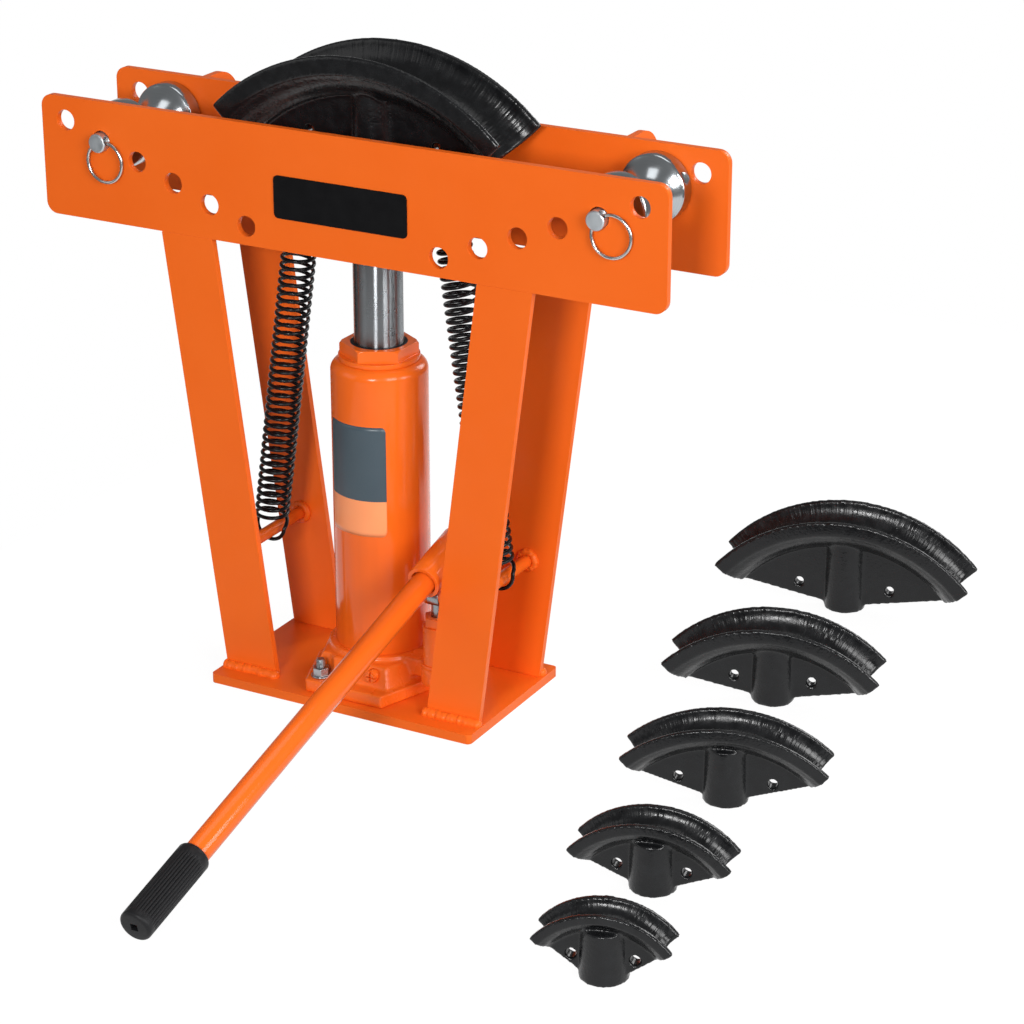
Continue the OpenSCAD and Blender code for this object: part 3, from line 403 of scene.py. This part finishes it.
plate_black = black_enamel("stoved_black_plate", "#121214", grain_mm=1.2, grain_depth_mm=0.006, gloss=0.3,
                           metal=0.0, shine=0.12)
dress(["plain_plate"], plate_black, edge_mm=0.25)

# Jack castings and tank
# A sand-cast iron base carries a steel tank tube and a hexagon cap nut, sprayed in the same orange.
# The casting's grain shows through the paint, and the tank is smooth.
cast_enamel = orange_enamel("orange_enamel_on_sand_casting", grain_mm=2.4, grain_depth_mm=0.5, gloss=0.2,
                            shine=0.4)
tube_enamel = orange_enamel("orange_enamel_on_tube", grain_mm=3.0, grain_depth_mm=0.006, gloss=0.12,
                            shine=0.3)


def cast_in_sand(name, solid, added, voxel_mm, material):
    """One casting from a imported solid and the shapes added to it, with every edge rounded by the mould."""
    pattern = bmesh.new()
    pattern.from_mesh(solid.data)
    bmesh.ops.remove_doubles(pattern, verts=pattern.verts, dist=0.001 * mm)
    for points, faces in added:
        shape = bpy.data.meshes.new(name)
        shape.from_pydata([tuple(p) for p in points], [], faces)
        pattern.from_mesh(shape)
    mesh = bpy.data.meshes.new(name)
    pattern.to_mesh(mesh)
    pattern.free()
    casting = bpy.data.objects.new(name, mesh)
    bpy.context.scene.collection.objects.link(casting)
    fuse(casting, voxel_mm, 6, material)
    return casting


jack_casting = cast_in_sand("jack_base_casting", nodes["jack_base"], [], 1.1, cast_enamel)
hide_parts("jack_base")
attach(jack_casting, "frame")
dress(["pump_barrel", "pump_gland", "fulcrum_link", "release_valve"], cast_enamel, edge_mm=0.6)
dress(["oil_tank"], tube_enamel, edge_mm=0.4)
dress(["cap_nut"], tube_enamel, edge_mm=0.9)

# Tank label
# A blank vinyl label wraps the front of the tank: a dark slate field above a pale orange one, without any
# print, with rounded corners and a slight satin.
label_left = math.radians(-135)
label_right = math.radians(-53)
label_foot = 144 * mm
label_split = 174.5 * mm
label_head = 238 * mm
label_corner = 4 * mm
label_lift = 0.15 * mm
label_film = 0.12 * mm
tank_low, tank_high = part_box("oil_tank")
tank_r = (tank_high.x - tank_low.x) / 2
label_r = tank_r + label_lift
label_w = (label_right - label_left) * label_r

vinyl, tree, out = new_material("two_tone_label_vinyl")
place = add_node(tree, "ShaderNodeTexCoord").outputs["Object"]
height = add_node(tree, "ShaderNodeSeparateXYZ", {0: place}).outputs["Z"]
upper = maths(tree, "GREATER_THAN", height, label_split)
fade = noise(tree, place, 30, 3.0)
slate = between(tree, fade, linear("#36454E"), linear("#43525B"))
peach = between(tree, fade, linear("#F8945C"), linear("#FBA06A"))
coat(tree, out, {"Base Color": between(tree, upper, peach, slate), "Roughness": 0.34})

columns = 48
rows = 24
label_points = []
for i in range(columns + 1):
    across = label_w * i / columns
    edge_gap = min(across, label_w - across)
    trim = 0.0
    if edge_gap < label_corner:
        trim = label_corner - math.sqrt(label_corner ** 2 - (label_corner - edge_gap) ** 2)
    turn = label_left + (label_right - label_left) * i / columns
    for j in range(rows + 1):
        z = label_foot + trim + (label_head - label_foot - 2 * trim) * j / rows
        label_points.append((label_r * math.cos(turn), label_r * math.sin(turn), z))
label_faces = []
for i in range(columns):
    for j in range(rows):
        here = i * (rows + 1) + j
        beside = here + rows + 1
        label_faces.append((here, beside, beside + 1, here + 1))
label = place_mesh("tank_label", label_points, label_faces, vinyl)
for face in label.data.polygons:
    face.use_smooth = True
film_wall = label.modifiers.new("film", "SOLIDIFY")
film_wall.thickness = label_film
film_wall.offset = -1
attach(label, "frame")

# Seals
# Moulded nitrile: the wiper round the ram, the oil plug and the piston's ring, matt black.
seal_rubber = black_enamel("moulded_seal_rubber", "#202022", grain_mm=0.8, grain_depth_mm=0.02, gloss=0.5,
                           metal=0.0, shine=0.25)
dress(["ram_wiper", "oil_plug", "piston_seal"], seal_rubber, edge_mm=0.3)

# Screws, nuts and pins
# Bright zinc plating over turned steel. The jack's two studs are threaded, with hexagon nuts.


def plated_steel(name, dull, bright, grain_mm, grain_depth_mm, gloss):
    """Zinc plating: bright, a little cloudy, with a fine crystalline grain."""
    material, tree, out = new_material(name)
    place = add_node(tree, "ShaderNodeTexCoord").outputs["Object"]
    cloud = noise(tree, place, 6, 5.0)
    tone = between(tree, cloud, linear(dull), linear(bright))
    skin = bumps(tree, noise(tree, place, grain_mm, 3.0), 0.5, grain_depth_mm)
    rough = drifting_gloss(tree, cloud, gloss, gloss + 0.14)
    coat(tree, out, {"Base Color": tone, "Roughness": rough, "Normal": skin, "Metallic": 1.0})
    return material


def circle(r, z, segments):
    """A ring of points round the Z axis."""
    turns = [math.tau * k / segments for k in range(segments)]
    return [(r * math.cos(turn), r * math.sin(turn), z) for turn in turns]


def lathe(rings, segments, closed_ends=True):
    """Points and faces of rings of points that share an axis, joined in order."""
    points = [p for ring in rings for p in ring]
    faces = []
    for i in range(len(rings) - 1):
        for k in range(segments):
            a = i * segments + k
            b = i * segments + (k + 1) % segments
            faces.append((a, b, b + segments, a + segments))
    if closed_ends:
        faces.append(tuple(reversed(range(segments))))
        faces.append(tuple(range((len(rings) - 1) * segments, len(rings) * segments)))
    return points, faces


zinc = plated_steel("bright_zinc_plating", "#8A8D90", "#B9BCBF", grain_mm=0.5, grain_depth_mm=0.01,
                    gloss=0.24)
dress(["jack_nuts"], zinc, edge_mm=0.5)
dress(["link_pin", "fulcrum_pin", "plunger_pin"], zinc, edge_mm=0.4)

stud_r = 4 * mm
stud_spots = ((-28 * mm, -54.5 * mm), (28 * mm, 54.5 * mm))
stud_segments = 40
head_r = 7.8 * mm
head_h = 3.8 * mm
head_steps = 5
thread_pitch = 1.25 * mm
thread_depth = 0.6 * mm
thread_rows = 8
thread_lift = 11 * mm
point_h = 1.2 * mm
shoulder_cut = 0.7 * mm
point_cut = 1.3 * mm
stud_low, stud_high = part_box("jack_screws")
stud_rings = []
for k in range(head_steps + 1):
    head_z = stud_low.z + head_h * k / head_steps
    stud_rings.append((head_z, head_r - (head_r - stud_r) * k / head_steps, 0.0))
thread_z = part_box("jack_base")[0].z + thread_lift
while thread_z < stud_high.z - point_h:
    stud_rings.append((thread_z, stud_r, 1.0))
    thread_z += thread_pitch / thread_rows
stud_rings.append((stud_high.z - point_h / 2, stud_r - shoulder_cut, 0.0))
stud_rings.append((stud_high.z, stud_r - point_cut, 0.0))
stud_points = []
stud_faces = []
for spot in stud_spots:
    rings = []
    for z, r, thread in stud_rings:
        ring = []
        for k in range(stud_segments):
            turn = math.tau * k / stud_segments
            wave = abs(((z / thread_pitch - k / stud_segments) % 1) * 2 - 1)
            here = r - thread * thread_depth * wave
            ring.append((spot[0] + here * math.cos(turn), spot[1] + here * math.sin(turn), z))
        rings.append(ring)
    points, faces = lathe(rings, stud_segments)
    stud_faces += [tuple(i + len(stud_points) for i in face) for face in faces]
    stud_points += points
studs = place_mesh("jack_studs", stud_points, stud_faces, zinc)
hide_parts("jack_screws")
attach(studs, "frame")

# Ram and piston
# A ground and polished steel rod, with fine grinding lines round it that draw lights into upright streaks.
# The cylinder, the piston and the pump's rod are plain machined steel with a film of oil.


def line_noise(tree, along, line_mm, detail):
    """Noise that changes only along one way, as lines of about one width."""
    spread = maths(tree, "MULTIPLY", along, 1 / (line_mm * mm))
    settings = {"W": spread, "Scale": 1.0, "Detail": detail}
    return add_node(tree, "ShaderNodeTexNoise", settings, noise_dimensions="1D").outputs["Fac"]


def turned_steel(name, dull, bright, axis, line_mm, gloss, line_depth_mm, streak):
    """Steel turned or ground in a lathe: fine lines round the axis draw the reflections out along it."""
    material, tree, out = new_material(name)
    place = add_node(tree, "ShaderNodeTexCoord").outputs["Object"]
    lathe_axis = {"Y": (0, 1, 0), "Z": (0, 0, 1)}[axis]
    round_axis = add_node(tree, "ShaderNodeVectorMath", {0: lathe_axis, 1: place},
                          operation="CROSS_PRODUCT")
    along = add_node(tree, "ShaderNodeSeparateXYZ", {0: place}).outputs[axis]
    lines = line_noise(tree, along, line_mm, 4.0)
    tone = between(tree, lines, linear(dull), linear(bright))
    skin = bumps(tree, lines, 0.5, line_depth_mm)
    rough = drifting_gloss(tree, noise(tree, place, 14, 4.0), gloss, gloss + 0.1)
    coat(tree, out, {"Base Color": tone, "Roughness": rough, "Normal": skin, "Metallic": 1.0,
                     "Tangent": round_axis.outputs[0], "Anisotropic": streak, "Anisotropic Rotation": 0.25})
    return material


ram_steel = turned_steel("ground_ram_steel", "#7E8184", "#969A9D", "Z", line_mm=0.4, gloss=0.24,
                         line_depth_mm=0.0003, streak=1.0)
dress(["ram"], ram_steel, edge_mm=0.5)
oiled_steel = turned_steel("oiled_machined_steel", "#85888B", "#9DA0A3", "Z", line_mm=0.7, gloss=0.25,
                           line_depth_mm=0.003, streak=0.0)
dress(["pressure_cylinder", "piston", "pump_plunger"], oiled_steel, edge_mm=0.4)

# Spring hanger
# A flame-cut disc with two side bars and cross pins, brushed with black paint, trapped under the die.
hanger_black = black_enamel("brushed_black_paint", "#1C1C1E", grain_mm=1.6, grain_depth_mm=0.05, gloss=0.34,
                            metal=0.0, shine=0.25)
dress(["spring_hanger"], hanger_black, edge_mm=0.6)

# Return springs
# Close-wound black spring wire with a hook at each end, from the bar on the legs to the hanger's pin.
wire_tree, wire_input, given = new_tree("wire_on_path", [
    ("Path", "Geometry"), ("Wire radius", "Float"), ("Sides", "Int"), ("Material", "Material")])
path_curve = add_node(wire_tree, "GeometryNodeMeshToCurve", {"Mesh": given["Path"]})
wire_section = add_node(wire_tree, "GeometryNodeCurvePrimitiveCircle", {
    "Resolution": given["Sides"], "Radius": given["Wire radius"]}, mode="RADIUS")
drawn_wire = add_node(wire_tree, "GeometryNodeCurveToMesh", {
    "Curve": path_curve.outputs[0], "Profile Curve": wire_section.outputs[0], "Fill Caps": True})
smooth_wire = add_node(wire_tree, "GeometryNodeSetShadeSmooth", {"Geometry": drawn_wire.outputs[0]})
end_tree(wire_tree, smooth_wire.outputs[0], given["Material"])

spring_black = black_enamel("black_oiled_spring_wire", "#1B1C1F", grain_mm=0.6, grain_depth_mm=0.008,
                            gloss=0.2, metal=0.4, shine=0.35)
wire = 3.25 * mm
wire_sides = 12
curl_r = (29.5 * mm - wire) / 2
curls = 41
curl_steps = 24
hook_rise = 8 * mm
hook_start = math.radians(10)
hook_steps = 28
hook_gap = 0.3 * mm
hanger_pin_x = 65 * mm
hanger_pin_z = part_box("spring_hanger")[1].z - 8 * mm
hanger_pin_r = 4 * mm
quarter = curl_steps // 4
total = curls * curl_steps
for side, name in ((-1, "left_spring"), (1, "right_spring")):
    bar_low, bar_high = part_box(name + "_rod")
    foot = (bar_low + bar_high) / 2
    head = Vector((side * hanger_pin_x, 0, hanger_pin_z))
    bar_r = (bar_high.z - bar_low.z) / 2
    length = (head - foot).length
    up = (head - foot).normalized()
    across = -Vector((0, 1, 0)).cross(up)
    foot_hook = curl_r - wire / 2 - bar_r - hook_gap
    head_hook = length - curl_r + wire / 2 + hanger_pin_r + hook_gap
    pitch = (head_hook - foot_hook - 2 * hook_rise) / (curls - 0.5)
    whole_rise = 2 * hook_rise + pitch * (curls - 0.5)
    path = []
    for k in range(hook_steps):
        turn = hook_start - (math.pi + hook_start) * k / hook_steps
        path.append((curl_r * math.cos(turn), 0, foot_hook + curl_r * math.sin(turn)))
    for i in range(total + 1):
        turn = math.pi + math.tau * i / curl_steps
        if i < quarter:
            rise = hook_rise * (1 - (1 - i / quarter) ** 2)
        elif i > total - quarter:
            rise = whole_rise - hook_rise * (1 - (1 - (total - i) / quarter) ** 2)
        else:
            rise = hook_rise + pitch * (i - quarter) / curl_steps
        path.append((curl_r * math.cos(turn), curl_r * math.sin(turn), foot_hook + rise))
    for k in range(hook_steps - 1, -1, -1):
        turn = -hook_start + (math.pi + hook_start) * k / hook_steps
        path.append((curl_r * math.cos(turn), 0, head_hook + curl_r * math.sin(turn)))
    points = [tuple(foot + across * p[0] - Vector((0, p[1], 0)) + up * p[2]) for p in path]
    spring = place_path(name + "_wire", points, [(i, i + 1) for i in range(len(path) - 1)])
    grow(spring, wire_tree, wire_input, {
        "Wire radius": wire / 2, "Sides": wire_sides, "Material": spring_black})
    bake(spring)
    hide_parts(name)
    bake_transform(spring)

# Bending dies
# Grey iron cast in sand and brushed with gloss black. Each die is a half-pipe bent to an arc, with a web
# and a boss under it: the mould rounds every edge, and the ground groove shines in ripples across it.
die_sizes_mm = {
    "die_2_inch": {"pipe": 60.3, "rim": 182, "half_arc": 45, "top": 107.5, "spot": (0, 0), "turn": 0},
    "die_1_1_2_inch": {"pipe": 48.3, "rim": 146.5, "half_arc": 50, "top": 89, "spot": (278, 323),
                       "turn": 12},
    "die_1_1_4_inch": {"pipe": 42.2, "rim": 124.5, "half_arc": 46.5, "top": 71.5, "spot": (300, 120),
                       "turn": 15},
    "die_1_inch": {"pipe": 33.4, "rim": 120, "half_arc": 42.5, "top": 67.5, "spot": (341, -60), "turn": 17},
    "die_3_4_inch": {"pipe": 26.7, "rim": 80.5, "half_arc": 50, "top": 58, "spot": (353, -211), "turn": 12},
    "die_1_2_inch": {"pipe": 21.3, "rim": 64, "half_arc": 51.5, "top": 54, "spot": (378.5, -339),
                     "turn": 15.5},
}
pipe_gap = 0.35 * mm
cast_gap = 0.3 * mm
die_wall = 4.8 * mm
large_half_t = 25 * mm
boss_r = 17 * mm
boss_rise = 4.2 * mm
boss_segments = 64
socket_depth = 33 * mm
socket_roof = 2 * mm
groove_skin = 1.0 * mm
arc_steps = 72
section_steps = 24


def painted_iron(name):
    """Gloss black on a sand casting: grain, low lumps, ripples in the groove, patches that shine more."""
    material, tree, out = new_material(name)
    place = add_node(tree, "ShaderNodeTexCoord").outputs["Object"]
    along = add_node(tree, "ShaderNodeAttribute", attribute_name="arc_length").outputs["Fac"]
    in_groove = add_node(tree, "ShaderNodeAttribute", attribute_name="in_groove").outputs["Fac"]
    lumps = noise(tree, place, 8, 3.0)
    skin_height = add_node(tree, "ShaderNodeMix", {
        "Factor": in_groove, "A": noise(tree, place, 2.2, 3.0), "B": line_noise(tree, along, 3.2, 2.0)})
    fine_skin = bumps(tree, skin_height.outputs["Result"], 0.8, 0.32)
    skin = bumps(tree, lumps, 0.5, 0.6, under=fine_skin)
    tone = between(tree, lumps, linear("#0B0B0C"), linear("#1B1C1E"))
    rough = drifting_gloss(tree, lumps, 0.16, 0.32)
    coat(tree, out, {"Base Color": tone, "Roughness": rough, "Normal": skin, "Specular IOR Level": 0.32})
    return material


def half_pipe_section(groove_r, half_t):
    """Points (inward depth, sideways) of the rim's section: straight lips, a round back and the groove."""
    lip = 0.16 * half_t
    back = [(0.0, half_t)]
    groove = []
    for i in range(section_steps + 1):
        a = math.pi * i / section_steps
        back.append((lip + (half_t - lip) * math.sin(a), half_t * math.cos(a)))
        groove.append((groove_r * math.sin(a), -groove_r * math.cos(a)))
    return back + [(0.0, -half_t)] + groove


die_black = painted_iron("gloss_black_on_sand_cast_iron")
for name, sizes in die_sizes_mm.items():
    groove_r = sizes["pipe"] / 2 * mm + pipe_gap
    half_t = groove_r + die_wall
    rim_r = sizes["rim"] * mm
    half_arc = math.radians(sizes["half_arc"])
    foot_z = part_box(name)[0].z
    centre_z = foot_z + sizes["top"] * mm - rim_r
    spot = Vector((sizes["spot"][0] * mm, sizes["spot"][1] * mm, 0))
    stand = Matrix.Translation(spot) @ Matrix.Rotation(math.radians(sizes["turn"]), 4, "Z")
    section = half_pipe_section(groove_r + cast_gap, half_t)
    arcs = []
    for i in range(arc_steps + 1):
        a = -half_arc + 2 * half_arc * i / arc_steps
        arc = []
        for depth, y in section:
            reach = rim_r - depth
            arc.append(stand @ Vector((reach * math.sin(a), y, centre_z + reach * math.cos(a))))
        arcs.append(arc)
    boss_top = centre_z + rim_r - half_t
    voxel_mm = 1.1
    if half_t > large_half_t:
        boss_top += boss_rise
        voxel_mm = 1.5
    boss_rings = [[stand @ Vector(p) for p in circle(boss_r, z, boss_segments)]
                  for z in (foot_z + socket_depth + socket_roof, boss_top)]
    rim_and_boss = (lathe(arcs, len(section)), lathe(boss_rings, boss_segments))
    casting = cast_in_sand(name + "_casting", nodes[name], rim_and_boss, voxel_mm, die_black)
    arc_length = casting.data.attributes.new("arc_length", "FLOAT", "POINT")
    in_groove = casting.data.attributes.new("in_groove", "FLOAT", "POINT")
    to_die = stand.inverted()
    for i, vertex in enumerate(casting.data.vertices):
        here = to_die @ vertex.co
        reach = math.hypot(here.x, here.z - centre_z)
        off_groove = abs(math.hypot(reach - rim_r, here.y) - groove_r)
        arc_length.data[i].value = rim_r * math.atan2(here.x, here.z - centre_z)
        in_groove.data[i].value = 1.0 if off_groove < groove_skin else 0.0
    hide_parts(name)
    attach(casting, "mounted_die" if name == "die_2_inch" else "loose_" + name)

# Rollers, pins and rings
# Turned steel rollers with a deep round groove run on plated pins, and each pin has a wire ring to pull it.
roller_steel = turned_steel("polished_roller_steel", "#A6ABAF", "#C4C9CC", "Y", line_mm=0.5, gloss=0.16,
                            line_depth_mm=0.0008, streak=0.0)
dress(["left_roller", "right_roller"], roller_steel, edge_mm=1.0)
pin_steel = plated_steel("blue_zinc_on_pins", "#B4BBC0", "#D6DADD", grain_mm=0.9, grain_depth_mm=0.03,
                         gloss=0.4)
ring_steel = plated_steel("satin_chrome_wire", "#B3B3B2", "#D0CFCD", grain_mm=2.0, grain_depth_mm=0.003,
                          gloss=0.16)
dress(["left_pin", "right_pin"], pin_steel, edge_mm=0.3)
for ring in ("left_ring", "right_ring"):
    nodes[ring].data.materials.clear()
    nodes[ring].data.materials.append(ring_steel)

# Lever and handle
# A welded steel socket with two cheeks holds the handle tube, sprayed in the same orange as the jack.
dress(["lever_socket"], tube_enamel, edge_mm=0.6)
dress(["handle_tube"], tube_enamel, edge_mm=0.3)

# Grip
# A moulded rubber grip pushed over the tube, with fine ribs along it, a plain collar, a rounded end and a
# small square hole in the end.
lever_x = 69.5 * mm
fulcrum_y = -3.528 * mm
fulcrum_z = 109 * mm
lever_tilt = math.radians(15.0241)
handle_rise = 25 * mm
handle_reach = 465 * mm
grip_len = 79 * mm
grip_r = 13 * mm
tube_r = 10 * mm
tube_gap = 0.1 * mm
hole_half = 3 * mm
hole_depth = 4 * mm
end_round = 3 * mm
end_steps = 8
straight_start_mm = 5
straight_len_mm = 69
straight_steps = 40
rib_count = 32
rib_fullness = 0.6
grip_segments = rib_count * 8

rib_tree, rib_input, given = new_tree("moulded_ribs", [
    ("Grip", "Geometry"), ("Rib count", "Float"), ("Rib depth", "Float"), ("Rib start", "Float"),
    ("Rib end", "Float"), ("Run-out", "Float"), ("Material", "Material")])
point = add_node(rib_tree, "GeometryNodeInputPosition").outputs[0]
part = add_node(rib_tree, "ShaderNodeSeparateXYZ", {0: point}).outputs
turn = maths(rib_tree, "ARCTAN2", part["Y"], part["X"])
phase = maths(rib_tree, "MULTIPLY", turn, given["Rib count"])
half_phase = maths(rib_tree, "MULTIPLY", phase, 0.5)
valley = maths(rib_tree, "ABSOLUTE", maths(rib_tree, "SINE", half_phase))
crest = maths(rib_tree, "POWER", valley, rib_fullness)
dip = maths(rib_tree, "SUBTRACT", crest, 1.0)
start_end = maths(rib_tree, "ADD", given["Rib start"], given["Run-out"])
end_start = maths(rib_tree, "SUBTRACT", given["Rib end"], given["Run-out"])
fade_in = add_node(rib_tree, "ShaderNodeMapRange", {
    "Value": part["Z"], "From Min": given["Rib start"], "From Max": start_end},
    interpolation_type="SMOOTHSTEP")
fade_out = add_node(rib_tree, "ShaderNodeMapRange", {
    "Value": part["Z"], "From Min": end_start, "From Max": given["Rib end"], "To Min": 1.0, "To Max": 0.0},
    interpolation_type="SMOOTHSTEP")
window = maths(rib_tree, "MULTIPLY", fade_in.outputs[0], fade_out.outputs[0])
sunk = maths(rib_tree, "MULTIPLY", maths(rib_tree, "MULTIPLY", dip, window), given["Rib depth"])
flat_point = add_node(rib_tree, "ShaderNodeVectorMath", {0: point, 1: (1, 1, 0)}, operation="MULTIPLY")
outward = add_node(rib_tree, "ShaderNodeVectorMath", {0: flat_point.outputs[0]}, operation="NORMALIZE")
push = add_node(rib_tree, "ShaderNodeVectorMath", {0: outward.outputs[0], "Scale": sunk}, operation="SCALE")
ribbed = add_node(rib_tree, "GeometryNodeSetPosition", {
    "Geometry": given["Grip"], "Offset": push.outputs[0]})
smooth_grip = add_node(rib_tree, "GeometryNodeSetShadeSmooth", {"Geometry": ribbed.outputs[0]})
end_tree(rib_tree, smooth_grip.outputs[0], given["Material"])

grip_rubber = black_enamel("ribbed_grip_rubber", "#232325", grain_mm=0.7, grain_depth_mm=0.02, gloss=0.36,
                           metal=0.0, shine=0.2)
collar_edge = [(0.0, grip_r - 1.2 * mm), (0.5 * mm, grip_r - 0.4 * mm), (1.4 * mm, grip_r)]
profile = [(0.0, tube_r + tube_gap)] + collar_edge
for i in range(straight_steps + 1):
    profile.append(((straight_start_mm + straight_len_mm * i / straight_steps) * mm, grip_r))
for i in range(end_steps + 1):
    a = math.radians(90 * i / end_steps)
    profile.append((grip_len - end_round + end_round * math.sin(a), grip_r - end_round * (1 - math.cos(a))))
grip_rings = [circle(r, s, grip_segments) for s, r in profile]
for depth in (0.0, hole_depth):
    ring = []
    for c, s, z in circle(1.0, grip_len - depth, grip_segments):
        reach = hole_half / max(abs(c), abs(s))
        ring.append((reach * c, reach * s, z))
    grip_rings.append(ring)
grip_rings.append(circle(tube_r + tube_gap, grip_len - hole_depth, grip_segments))
grip_rings.append(grip_rings[0])
points, faces = lathe(grip_rings, grip_segments, closed_ends=False)
grip = place_mesh("ribbed_grip", points, faces, grip_rubber)
grow(grip, rib_tree, rib_input, {
    "Rib count": float(rib_count), "Rib depth": 0.9 * mm, "Rib start": 8 * mm, "Rib end": 73 * mm,
    "Run-out": 2 * mm, "Material": grip_rubber})
bake(grip)
shell = bmesh.new()
shell.from_mesh(grip.data)
bmesh.ops.remove_doubles(shell, verts=shell.verts, dist=0.001 * mm)
bmesh.ops.recalc_face_normals(shell, faces=shell.faces)
for edge in shell.edges:
    edge.smooth = edge.calc_face_angle(0.0) < math.radians(60)
shell.to_mesh(grip.data)
shell.free()
on_lever = Matrix.Translation((lever_x, fulcrum_y, fulcrum_z)) @ Matrix.Rotation(lever_tilt, 4, "X")
grip_foot = Matrix.Translation((0, grip_len - handle_reach, handle_rise))
grip.data.transform(on_lever @ grip_foot @ Matrix.Rotation(math.radians(90), 4, "X"))
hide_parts("handle_grip")
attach(grip, "lever")
